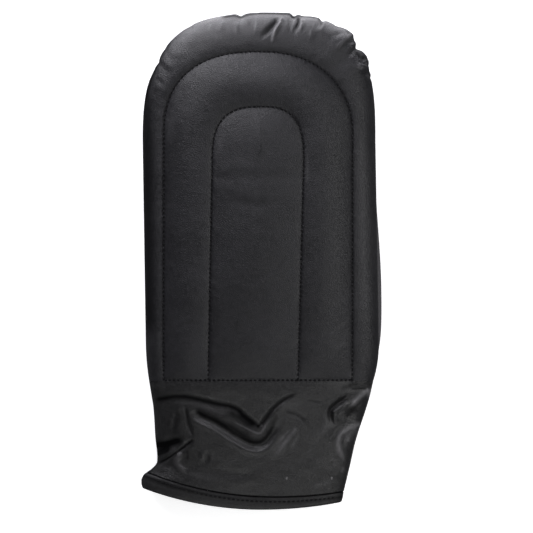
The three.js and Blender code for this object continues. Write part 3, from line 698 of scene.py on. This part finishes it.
def store_painted_light_and_specks(piece, tones):
    """Stores the painted shade (below 0) and painted highlight (above 0) at each point of a piece; on
    the cuff the light side also holds two real pale specks.
    """
    layer = piece.data.attributes.new("painted_light_and_specks", "FLOAT", "POINT")
    layer.data.foreach_set("value", np.asarray(tones, float).ravel())


def grid_faces(index):
    corners = [index[:-1, :-1], index[:-1, 1:], index[1:, 1:], index[1:, :-1]]
    return np.stack(corners, -1).reshape(-1, 4).tolist()


def strip_faces(first, second):
    return grid_faces(np.stack([first, second], -1))


def number_points(grid, offset):
    """Point numbers of a grid whose last row meets its own mirror along the middle."""
    columns, rows = grid.shape[:2]
    index = offset + np.arange(columns * rows).reshape(columns, rows)
    half = columns // 2
    index[half + 1:, -1] = index[:half, -1][::-1]
    return index


def put_wall(name, outer, inner, across_wrist, material):
    """A piece between two grids, joined round their edge and across the wrist."""
    outside = number_points(outer, 0)
    inside = number_points(inner, outside.size)
    faces = grid_faces(outside) + grid_faces(inside)
    faces += strip_faces(outside[:, 0], inside[:, 0]) + across_wrist(outside, inside)
    points = np.concatenate([outer.reshape(-1, 3), inner.reshape(-1, 3)])
    used = np.unique(np.concatenate([outside.ravel(), inside.ravel()]))
    place = np.full(len(points), -1)
    place[used] = np.arange(len(used))
    faces = [[int(place[i]) for i in face] for face in faces]
    return put_mesh(name, points[used], faces, material)


def points_of(piece):
    """A piece's points in millimetres, up and across from the bottom seam's middle."""
    return np.array([v.co for v in piece.data.vertices]) / MM - (0, SEAM_Y, 0)


def one_face(outside, inside):
    """A single face across the wrist, over the back and home along the roof."""
    over = outside[0].tolist() + outside[-1, -2::-1].tolist()
    return [over + inside[-1].tolist() + inside[0, -2::-1].tolist()]


def build_quilted_back(material):
    """The quilted back with the roof of the hand space, one padded wall."""
    back = put_wall("quilted_back", back_grid(), cavity_grid(), one_face, material)
    points = points_of(back)
    # Painted shade and painted highlights on the fingertips' puckers, the outline and the quilting
    store_painted_light_and_specks(back, crease_relief(TIP_SHADE_AND_HIGHLIGHTS, points[:, 0], points[:, 1]))
    return back


def back_end():
    """The profile of the back over the bottom seam, left to right: x and height."""
    ends = back_grid()[[0, -1], RIM_ROWS // 3:]
    line = np.concatenate([ends[0], ends[1, ::-1]])
    order = np.argsort(line[:, 0])
    x = np.linspace(line[:, 0].min(), line[:, 0].max(), PROFILE_STEPS)
    height = np.interp(x, line[order, 0], line[order, 2])
    padded = np.pad(height, PROFILE_SMOOTHING // 2, mode="edge")
    evenly = np.ones(PROFILE_SMOOTHING) / PROFILE_SMOOTHING
    return x, np.convolve(padded, evenly, mode="valid")


def round_the_cuff():
    """Angles round the tube: from the left side over the top, then back along the floor."""
    over = np.linspace(math.pi, 0, CUFF_TOP_STEPS + 1)
    under = np.linspace(0, -math.pi, CUFF_FLOOR_STEPS + 1)[1:-1]
    return np.concatenate([over, under])[:, None]


def mouth_lift(x):
    """How far the mouth's edge lies back at x, as a share of the cuff's length."""
    left, right = HEM_LIFT_LEFT * (x / MOUTH_LEFT) ** 2, HEM_LIFT_RIGHT * (x / MOUTH_RIGHT) ** 2
    return np.where(x < 0, left, right)


def hem_share():
    """The hem's width round the mouth, as a share of the cuff's length there."""
    across = (1 + np.cos(round_the_cuff())) / 2
    width = mix(HEM_WIDTH_LEFT, HEM_WIDTH_RIGHT, across)
    return width / CUFF_LENGTH / (1 - mouth_lift(across * MOUTH_WIDTH - MOUTH_LEFT))


def cuff_grid(at, grow, back_line=None):
    """The cuff's tube, [round it][towards the mouth]; grow moves its wall out.

    With the back's line over the bottom seam, it is creased and starts from that line.
    """
    turned = round_the_cuff()
    over = turned >= 0
    at, grow = np.broadcast_arrays(at, grow)
    edge = pad_edge(np.array([0.0, 1.0]))[:, 0]
    left_pull = WAIST_PULL * read_table(CUFF_SECTIONS, "left_pull", at)
    right_pull = WAIST_PULL * read_table(CUFF_SECTIONS, "right_pull", at)
    left = mix(-edge[0], MOUTH_LEFT, at) - left_pull + grow
    right = mix(edge[1], MOUTH_RIGHT, at) - right_pull + grow
    height = mix(WRIST_HEIGHT, MOUTH_HEIGHT, at)
    out, up = np.cos(turned), np.abs(np.sin(turned))
    square = bent(out, 2 / PALM_FLOOR_ROUNDNESS)
    x = (right - left) / 2 + np.where(over, out, square) * (right + left) / 2
    y = at * CUFF_LENGTH * (1 - mouth_lift(x))
    arch = np.where(over, arch_share(out), up ** (2 / PALM_FLOOR_ROUNDNESS))
    z = mix(CUFF_BELT * height, np.where(over, height + grow, np.maximum(0, -grow)), arch)
    if back_line is not None:
        relief = crease_relief(CUFF_CREASES, x, y) * np.abs(arch) ** 0.4
        relief += CUFF_SLOW * waves(SLOW_WAVES, x * 1.4, y * 1.4) * arch
        relief += CUFF_QUICK * waves(QUICK_WAVES, x, y) * arch
        raised = z + relief * np.clip(y / CUFF_FLAT_START, 0, 1)
        start = np.interp(x, *back_line) - CUFF_STEP + grow
        raised = mix(start, raised, np.maximum(eased(y / CUFF_JOIN), 1 - np.clip(arch * 6, 0, 1)))
        z = np.where(over, raised, z)
    return np.stack([x, -y, z], -1)


def put_tube(name, grid, material):
    """A piece from a grid whose first column and row follow its last."""
    index = np.arange(grid.shape[0] * grid.shape[1]).reshape(grid.shape[:2])
    faces = grid_faces(np.pad(index, (0, 1), mode="wrap"))
    return put_mesh(name, grid.reshape(-1, 3), faces, material)


def build_creased_cuff(material):
    """The thin cuff from the bottom seam to the hem, open at both ends."""
    start = CUFF_GAP / CUFF_LENGTH
    at = mix(start, 1 - hem_share() - start, np.linspace(0, 1, CUFF_ROWS))
    outer, inner = (cuff_grid(at, grow, back_end()) for grow in (0.0, -CUFF_WALL))
    section = np.concatenate([outer, inner[:, ::-1]], 1)
    cuff = put_tube("creased_cuff", section, material)
    # Painted shade and painted highlights of the cuff's folds, with its two real pale specks
    tones = crease_relief(CUFF_SHADE_HIGHLIGHTS_AND_SPECKS, section[..., 0], -section[..., 1])
    # Painted shade along the cuff's end, beside the gap to the hem
    tones[:, CUFF_ROWS - 1:CUFF_ROWS + 1] -= CUFF_END_SHADE
    tones[CUFF_TOP_STEPS + 1:] = 0
    store_painted_light_and_specks(cuff, tones)
    return cuff


def build_turned_hem(material):
    """The cuff's edge folded in on itself, a flat band round the mouth."""
    turn = np.linspace(0, 2 * math.pi, HEM_STEPS, endpoint=False)
    along, out = bent(np.cos(turn), HEM_ENDS), bent(np.sin(turn), HEM_FACES)
    share = (1 - along) / 2
    rise = HEM_SWELL * eased(along * 0.7 + 0.85)
    grow = -LEATHER / 2 + out * (LEATHER / 2 + rise)
    grid = cuff_grid(1 - hem_share() * share, grow)
    from_line = hem_share() * (1 - share) * CUFF_LENGTH
    from_row = from_line - HEM_STITCH_INSET
    over = np.clip(out[None, :] * 2, 0, 1) * np.clip(grid[..., 2] / 8, 0, 1)
    ripple = HEM_RIPPLE * waves(SEAM_WAVES, grid[..., 0])
    grid[..., 2] += (ripple - HEM_GROOVE * near(from_row, HEM_GROOVE_REACH)) * over
    hem = put_tube("turned_hem", grid, material)
    # Painted shade along the hem's upper line and along its stitch row
    shade = HEM_LINE_SHADE * near(from_line, 0.65) + HEM_STITCH_SHADE * near(from_row, 0.8)
    store_painted_light_and_specks(hem, -shade * np.ones(grid.shape[:2]))
    return hem


def palm_flare(u):
    return read_table(PALM_EDGE, "flare", np.minimum((1 - u) / SIDE_SHARE, PALM_EDGE[-1]["at"]))


def palm_grid(face):
    """One face of the palm panel: 0 is its outside and 1 its inside."""
    u = np.linspace(0, 1, PALM_COLUMNS + 1)
    seam = rim_grid(u, np.array([0.0]))[0][:, 0, :2]
    spine = along_line("spine", u)
    wall = LEATHER * face
    top = SEAM_HEIGHT - SEAM_GAP
    turned = np.linspace(0, math.pi / 2, PALM_TURN_ROWS + 1)[None, :]
    to_edge = np.linalg.norm(seam - pad_edge(u), axis=-1)
    flare = ((1 - face) * palm_flare(u) * (to_edge + PALM_FLARE))[:, None] * np.cos(turned)
    inward = PALM_TURN - (PALM_TURN - wall) * np.cos(turned) - flare
    heading = (spine - seam) / np.linalg.norm(spine - seam, axis=-1, keepdims=True)
    plan = seam[:, None, :] + heading[:, None, :] * inward[..., None]
    height = np.broadcast_to(top - (top - wall) * np.sin(turned), inward.shape)
    turn = np.concatenate([plan, height[..., None]], -1)
    share = np.linspace(0, 1, PALM_FLOOR_ROWS + 1)[1:, None]
    floor = mix(plan[:, -1:, :], spine[:, None, :], share[None])
    flat = np.full(floor.shape[:2] + (1,), float(wall))
    return np.concatenate([turn, np.concatenate([floor, flat], -1)], 1)


def two_strips(outside, inside):
    return strip_faces(outside[0], inside[0]) + strip_faces(outside[-1], inside[-1])


def build_palm(material):
    """The palm panel with its thumb hole, and a painted highlight on its edge where it stands past
    the pad.
    """
    palm = put_wall("palm_leather", palm_grid(0), palm_grid(1), two_strips, material)
    cut_thumb_hole(palm)
    points = points_of(palm)
    edge = pad_edge(np.linspace(1, 0.5, 400))
    past = points[:, 0] - np.interp(points[:, 1], edge[:, 1], edge[:, 0])
    on_top = (points[:, 2] - SEAM_HEIGHT + SEAM_GAP) / 0.3 + 1.2
    # Painted highlight along the palm's edge where it stands past the pad
    store_painted_light_and_specks(palm, PALM_EDGE_HIGHLIGHT * eased(past / 0.8) * eased(on_top))
    return palm


def cut_thumb_hole(palm):
    """Cuts the hole through the palm and softens its rim."""
    across, up = THUMB_HOLE
    place = (across * MM, (up + SEAM_Y) * MM, LEATHER / 2 * MM)
    bpy.ops.object.select_all(action="DESELECT")
    bpy.ops.mesh.primitive_cylinder_add(vertices=72, radius=MM / 2, depth=6 * MM, location=place)
    cutter = bpy.context.object
    cutter.scale = (*THUMB_HOLE_SIZE, 1)
    cutter.rotation_euler.z = THUMB_HOLE_TILT
    cut = palm.modifiers.new("thumb_hole", "BOOLEAN")
    cut.operation = "DIFFERENCE"
    cut.object = cutter
    cut.solver = "EXACT"
    soften = palm.modifiers.new("soft_edge", "BEVEL")
    soften.width = THUMB_HOLE_BEVEL * MM
    soften.segments = 3
    soften.limit_method = "ANGLE"
    soften.angle_limit = math.radians(55)
    choose(palm)
    for modifier in list(palm.modifiers):
        bpy.ops.object.modifier_apply(modifier=modifier.name)
    bpy.data.objects.remove(cutter)
    bpy.ops.object.shade_smooth_by_angle(angle=SMOOTH_ANGLE)


def stitch_shape():
    """One stitch, modelled once: a short thread whose two ends dive into the leather."""
    bpy.ops.object.select_all(action="DESELECT")
    bpy.ops.mesh.primitive_uv_sphere_add(segments=8, ring_count=6, radius=0.5)
    dash = bpy.context.object
    bpy.ops.object.mode_set(mode="EDIT")
    bpy.ops.mesh.select_all(action="SELECT")
    bpy.ops.transform.rotate(value=math.pi / 2, orient_axis="Y", center_override=(0, 0, 0))
    bpy.ops.transform.resize(value=(STITCH_LENGTH, THREAD_WIDTH, THREAD_WIDTH * 0.8))
    bpy.ops.object.mode_set(mode="OBJECT")
    points = np.array([v.co for v in dash.data.vertices])
    points[:, 2] -= 0.45 * THREAD_WIDTH * (points[:, 0] / (STITCH_LENGTH / 2)) ** 2
    faces = [list(f.vertices) for f in dash.data.polygons]
    bpy.data.objects.remove(dash)
    return points, faces


def lay_stitches(name, path, up, material, shape, gone=None):
    """Stitches set along a path at an even pitch; up is the leather's normal at each point."""
    if gone is None:
        gone = run_along(path)

    def found(values, s):
        return np.stack([np.interp(s, gone, values[:, k]) for k in range(3)], -1)

    def unit(vectors):
        return vectors / np.linalg.norm(vectors, axis=1, keepdims=True)

    pitch = even_pitch(gone[-1])
    middles = np.arange(0.5, gone[-1] / pitch, 1) * pitch
    along = unit(found(path, middles + 0.5) - found(path, middles - 0.5))
    aside = unit(np.cross(found(up, middles), along))
    turned = np.stack([along, aside, np.cross(along, aside)], 1)
    points, faces = shape
    laid = found(path, middles)[:, None] + points @ turned
    copies = range(0, laid.size // 3, len(points))
    every = [[i + first for i in face] for first in copies for face in faces]
    return put_mesh(name, laid.reshape(-1, 3), every, material)


def build_seam_stitches(name, material, shape):
    """Stitches of a quilting seam, which lies on a row of the back's own grid."""
    u = np.linspace(0, 1, COLUMNS + 1)
    plan = along_line(name, u)
    x, y = plan[:, 0], plan[:, 1]
    rise = QUILT_SLOW * waves(SLOW_WAVES, x, y) - SEAM_DIP - PULL_BETWEEN * STITCH_PULL
    path = np.stack([x, y, back_height(x, y) + rise * past_seam(y) + THREAD_LIFT], -1)
    ahead = back_height(x, y + 1) - back_height(x, y - 1)
    across = back_height(x + 1, y) - back_height(x - 1, y)
    up = np.stack([-across / 2, -ahead / 2, np.ones_like(x)], -1)
    return lay_stitches(name + "_stitches", path, up, material, shape, gone_along(name, u))


def build_bottom_stitches(material, shape):
    """The straight bottom seam between the two ends of the outer quilting seam."""
    ends = along_line("outer_seam", np.array([0.0, 1.0]))
    x = np.linspace(ends[0, 0], ends[1, 0], 400)
    path = np.stack([x, np.full_like(x, BOTTOM_STITCH), back_height(x, 0 * x) - 0.05], -1)
    up = np.stack([x / HALF_WIDTH * 0.5, np.full_like(x, 0.1), np.ones_like(x)], -1)
    return lay_stitches("bottom_seam_stitches", path, up, material, shape)


def build_hem_stitches(material, shape):
    """The hem's stitch line on its upper face, in a finer thread."""
    at = 1 - hem_share() + HEM_STITCH_INSET / CUFF_LENGTH
    path = cuff_grid(at, HEM_SWELL + 0.1)[:CUFF_TOP_STEPS + 1, 0]
    path = path[(path[:, 0] > -57) & (path[:, 0] < 40)]
    x = path[:, 0]
    up = np.stack([x / 120, np.zeros_like(x), np.ones_like(x)], -1)
    points, faces = shape
    thin = (points * (1, HEM_THREAD, HEM_THREAD), faces)
    return lay_stitches("hem_stitches", path, up, material, thin)


def build_thumb_stitches(material, shape):
    """Stitches on the palm round the thumb hole."""
    turn = np.linspace(0, 2 * math.pi, 241)
    x = (THUMB_HOLE_SIZE[0] / 2 + THUMB_STITCH_INSET) * np.cos(turn)
    y = (THUMB_HOLE_SIZE[1] / 2 + THUMB_STITCH_INSET) * np.sin(turn)
    cosine, sine = math.cos(THUMB_HOLE_TILT), math.sin(THUMB_HOLE_TILT)
    path = np.stack([THUMB_HOLE[0] + x * cosine - y * sine,
                     THUMB_HOLE[1] + x * sine + y * cosine,
                     np.full_like(x, 0.45)], -1)
    up = np.tile([0.0, 0.0, -1.0], (len(turn), 1))
    return lay_stitches("thumb_hole_stitches", path, up, material, shape)


class Wire:
    """A shader value that takes part in Python sums; each one adds a Math node."""

    def __init__(self, tree, socket):
        self.tree, self.socket = tree, socket

    def _maths(self, operation, *values):
        node = self.tree.nodes.new("ShaderNodeMath")
        node.operation = operation
        for place, value in zip(node.inputs, values):
            if isinstance(value, Wire):
                self.tree.links.new(value.socket, place)
            else:
                place.default_value = value
        return Wire(self.tree, node.outputs[0])

    def __add__(self, other):
        return self._maths("ADD", self, other)

    def __mul__(self, other):
        return self._maths("MULTIPLY", self, other)

    def __sub__(self, other):
        return self._maths("SUBTRACT", self, other)

    def __rsub__(self, other):
        return self._maths("SUBTRACT", other, self)

    __radd__, __rmul__ = __add__, __mul__

    def clipped(self):
        return self._maths("MAXIMUM", self._maths("MINIMUM", self, 1.0), 0.0)


class Shader:
    """A new material with its Principled shader, and one method for every other node."""

    def __init__(self, name):
        self.material = bpy.data.materials.new(name)
        self.material.use_nodes = True
        self.tree = self.material.node_tree
        self.surface = next(n for n in self.tree.nodes if n.type == "BSDF_PRINCIPLED")
        self.place = self.node("TexCoord").outputs["Object"]

    def node(self, kind, settings=(), **sockets):
        """Adds a node of a kind, sets its settings, then its sockets to values or links."""
        node = self.tree.nodes.new("ShaderNode" + kind)
        for name, value in dict(settings).items():
            setattr(node, name, value)
        self.set(node, **sockets)
        return node

    def set(self, node, **sockets):
        for name, value in sockets.items():
            self.feed(node.inputs[name.replace("_", " ")], value)

    def feed(self, place, value):
        if isinstance(value, Wire):
            value = value.socket
        if isinstance(value, bpy.types.NodeSocket):
            self.tree.links.new(value, place)
        else:
            place.default_value = value

    def noise(self, scale, detail, roughness=0.55):
        found = self.node("TexNoise", Vector=self.place, Scale=scale, Detail=detail,
                          Roughness=roughness)
        return Wire(self.tree, found.outputs["Fac"])

    def pebbles(self, scale, rim, vector):
        """Flat-topped cells, 0 in the grooves between them and 1 on top."""
        cells = self.node("TexVoronoi", {"feature": "DISTANCE_TO_EDGE"}, Vector=vector, Scale=scale)
        found = self.node("MapRange", {"clamp": True}, Value=cells.outputs["Distance"],
                          From_Min=0.0, From_Max=rim, To_Min=0.0, To_Max=1.0)
        return Wire(self.tree, found.outputs["Result"])

    def blend(self, share, first, second):
        found = self.node("Mix", {"data_type": "RGBA"})
        for place, value in ((0, share), (6, first), (7, second)):
            self.feed(found.inputs[place], value)
        return found.outputs[2]

    def bump(self, height, distance, strength=1.0, **sockets):
        found = self.node("Bump", Height=height, Distance=distance, Strength=strength, **sockets)
        return found.outputs["Normal"]

    def paint_shade(self, share):
        """Mixes the surface with a near-black matte shader as painted shade, as down in a deep fold.
        """
        shade_black = self.node("BsdfPrincipled", Base_Color=(0.002, 0.002, 0.0022, 1), Roughness=0.9,
                         Specular_IOR_Level=0.03)
        mixed = self.node("MixShader", Fac=share)
        self.feed(mixed.inputs[1], self.surface.outputs["BSDF"])
        self.feed(mixed.inputs[2], shade_black.outputs["BSDF"])
        end = next(n for n in self.tree.nodes if n.type == "OUTPUT_MATERIAL")
        self.feed(end.inputs["Surface"], mixed.outputs[0])


# Black leathers; grain and wrinkle are in millimetres, fleck is how strong the pores' tone is
# The light tone of the painted highlights, also used for the cuff's two real pale specks
HIGHLIGHT_AND_SPECK_TONE = (0.094, 0.092, 0.096, 1)
LEATHERS = {row["name"]: row for row in table(
    "name dark light rough grain_size grain_depth wrinkle_depth specular fleck",
    ("back_leather", (0.0042, 0.0041, 0.0051, 1), (0.0142, 0.0139, 0.0162, 1),
     0.46, 0.95, 0.14, 0.28, 0.36, 0.3),
    ("palm_leather", (0.0054, 0.0053, 0.0060, 1), (0.0122, 0.0120, 0.0134, 1),
     0.5, 1.05, 0.13, 0.22, 0.36, 0.4),
    ("cuff_leather", (0.0042, 0.0041, 0.0043, 1), (0.0142, 0.0140, 0.0145, 1),
     0.37, 0.85, 0.11, 0.5, 0.42, 2.0),
    ("hem_leather", (0.0056, 0.0055, 0.0057, 1), (0.0124, 0.0122, 0.0127, 1),
     0.44, 0.85, 0.1, 0.25, 0.38, 2.0),
)}


def make_leather(name):
    """Black leather: pebbled grain, fine pores, slow change of tone and of sheen, with the painted
    shade and painted highlights stored on each piece.
    """
    kind = LEATHERS[name]
    shader = Shader(name)
    warp = shader.node("TexNoise", Vector=shader.place, Scale=260.0, Detail=2.0)
    shifted = shader.node("VectorMath", {"operation": "MULTIPLY_ADD"})
    for place, value in enumerate((warp.outputs["Color"], (1.2 * MM,) * 3, shader.place)):
        shader.feed(shifted.inputs[place], value)
    grain = kind["grain_size"] * MM
    pebbles = shader.pebbles(1 / grain, 0.32, shifted.outputs[0])
    small = shader.pebbles(2.3 / grain, 0.3, shifted.outputs[0])
    pores = shader.noise(1300.0, 3.0)
    patches = shader.noise(34.0, 4.0)
    mottle = shader.noise(420.0, 3.0)
    painted_light_and_specks = Wire(shader.tree, shader.node("Attribute", {"attribute_name": "painted_light_and_specks"}).outputs["Fac"])
    tone = (patches * 0.5 + mottle * 0.45 - 0.3) * 2.0 + (pores - 0.5) * kind["fleck"]
    # Painted highlights, and the cuff's two pale specks, blend in the light tone
    highlight_and_specks = (painted_light_and_specks * (mottle * 1.2 + 0.4)).clipped()
    colour = shader.blend(highlight_and_specks, shader.blend(tone.clipped(), kind["dark"], kind["light"]), HIGHLIGHT_AND_SPECK_TONE)
    gloss = kind["rough"] + (mottle - 0.5) * 0.16 + (patches - 0.5) * 0.12 + (pores - 0.5) * 0.1
    height = pebbles * 0.6 + small * 0.25 + pores * 0.15
    fine = shader.bump(height, kind["grain_depth"] * MM, 0.9)
    creased = shader.noise(150.0, 5.0, roughness=0.6)
    normal = shader.bump(creased, kind["wrinkle_depth"] * MM, 0.8, Normal=fine)
    shader.set(shader.surface, Base_Color=colour, Roughness=gloss, Normal=normal,
               Specular_IOR_Level=kind["specular"])
    # Painted shade: the near-black matte shader mixed in where the stored value is below 0
    shader.paint_shade((painted_light_and_specks * -1.0).clipped())
    return shader.material


def make_thread():
    """Black waxed thread with its twist."""
    shader = Shader("black_thread")
    twist = shader.node("TexWave", {"bands_direction": "DIAGONAL"}, Vector=shader.place,
                        Scale=900.0, Distortion=1.0)
    fibres = shader.noise(5200.0, 1.0)
    height = Wire(shader.tree, twist.outputs["Fac"]) * 0.7 + fibres * 0.3
    colour = shader.blend(fibres, (0.0022, 0.0022, 0.0025, 1), (0.006, 0.006, 0.0065, 1))
    shader.set(shader.surface, Base_Color=colour, Roughness=0.7, Specular_IOR_Level=0.12,
               Normal=shader.bump(height, 0.08 * MM))
    return shader.material


def finish_piece(piece, node=None):
    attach(piece, "root")
    if node:
        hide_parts(node)
    return piece


def build_glove():
    thread = make_thread()
    shape = stitch_shape()
    back, palm, cuff, hem = [
        finish_piece(build(make_leather(slot)), node) for build, slot, node in (
            (build_quilted_back, "back_leather", "back_pad"),
            (build_palm, "palm_leather", "palm_panel"),
            (build_creased_cuff, "cuff_leather", "cuff"),
            (build_turned_hem, "hem_leather", "hem_band"),
        )
    ]
    for seam in ("outer_seam", "inner_seam"):
        finish_piece(build_seam_stitches(seam, thread, shape))
    finish_piece(build_bottom_stitches(thread, shape))
    hem_row = finish_piece(build_hem_stitches(thread, shape))
    finish_piece(build_thumb_stitches(thread, shape))


# Picture: what the camera takes in at the pad's widest line, in metres
PIXELS = 533
PIXEL = 0.54 * MM
CAMERA_PLACE = (5 * PIXEL, -5.5 * PIXEL)
CAMERA_DISTANCE = 4.0
SENSOR = 36.0
WIDEST_LINE = 0.018

# Studio panels, in metres and watts, aimed at the glove unless a target is given
COOL, NEUTRAL = (0.95, 0.94, 1.0), (1, 1, 1)
GLOVE = (0, 0, 0.02)
PANELS = table(
    "name place size power colour target",
    ("low_panel", (-0.42, 1.02, 0.15), (0.6, 0.3), 11.0, COOL, GLOVE),
    ("left_panel", (-0.6, 0.74, 0.55), (0.5, 0.4), 4.6, COOL, GLOVE),
    ("high_panel", (0.0, 0.75, 0.9), (0.8, 0.5), 6.2, COOL, GLOVE),
    ("side_panel", (0.95, 0.0, 0.65), (0.8, 0.5), 5.8, NEUTRAL, GLOVE),
    ("front_panel", (0.0, -0.9, 0.75), (0.9, 0.5), 4.4, NEUTRAL, GLOVE),
    # Just above the table, shining up at the fingertips' rim
    ("table_glow", (-0.03, 0.2, 0.003), (0.26, 0.12), 0.5, COOL, (-0.03, 0.2001, 1.0)),
)


def place_camera():
    """A long lens straight above, fingertips to the top of the picture."""
    data = bpy.data.cameras.new("camera")
    data.sensor_width = SENSOR
    data.lens = SENSOR * CAMERA_DISTANCE / (PIXELS * PIXEL)
    data.clip_end = 20
    camera = bpy.data.objects.new("camera", data)
    camera.location = (*CAMERA_PLACE, WIDEST_LINE + CAMERA_DISTANCE)
    bpy.context.scene.collection.objects.link(camera)
    bpy.context.scene.camera = camera


def light_studio():
    for panel in PANELS:
        data = bpy.data.lights.new(panel["name"], "AREA")
        data.shape = "RECTANGLE"
        data.size, data.size_y = panel["size"]
        data.energy = panel["power"]
        data.color = panel["colour"]
        lamp = bpy.data.objects.new(panel["name"], data)
        lamp.location = panel["place"]
        aim = Vector(panel["target"]) - Vector(panel["place"])
        lamp.rotation_euler = aim.to_track_quat("-Z", "Y").to_euler()
        lamp.visible_camera = panel["name"] != "table_glow"
        bpy.context.scene.collection.objects.link(lamp)
    world = bpy.data.worlds.new("studio")
    world.use_nodes = True
    sky = world.node_tree.nodes["Background"]
    sky.inputs["Color"].default_value = (0.95, 0.96, 1.0, 1)
    sky.inputs["Strength"].default_value = 0.093
    bpy.context.scene.world = world


def lay_floor():
    """A plain pale table top, left out of the leather's own reflections."""
    bpy.ops.object.select_all(action="DESELECT")
    bpy.ops.mesh.primitive_plane_add(size=8, location=(0, 0, 0))
    floor = bpy.context.object
    floor.name = "floor"
    shader = Shader("pale_floor")
    shader.set(shader.surface, Base_Color=(0.92, 0.92, 0.92, 1), Roughness=0.9,
               Emission_Color=(1, 1, 1, 1), Emission_Strength=0.62)
    floor.data.materials.append(shader.material)
    floor.visible_glossy = False


build_glove()
lay_floor()
light_studio()
place_camera()
bpy.context.scene.view_settings.view_transform = "Standard"
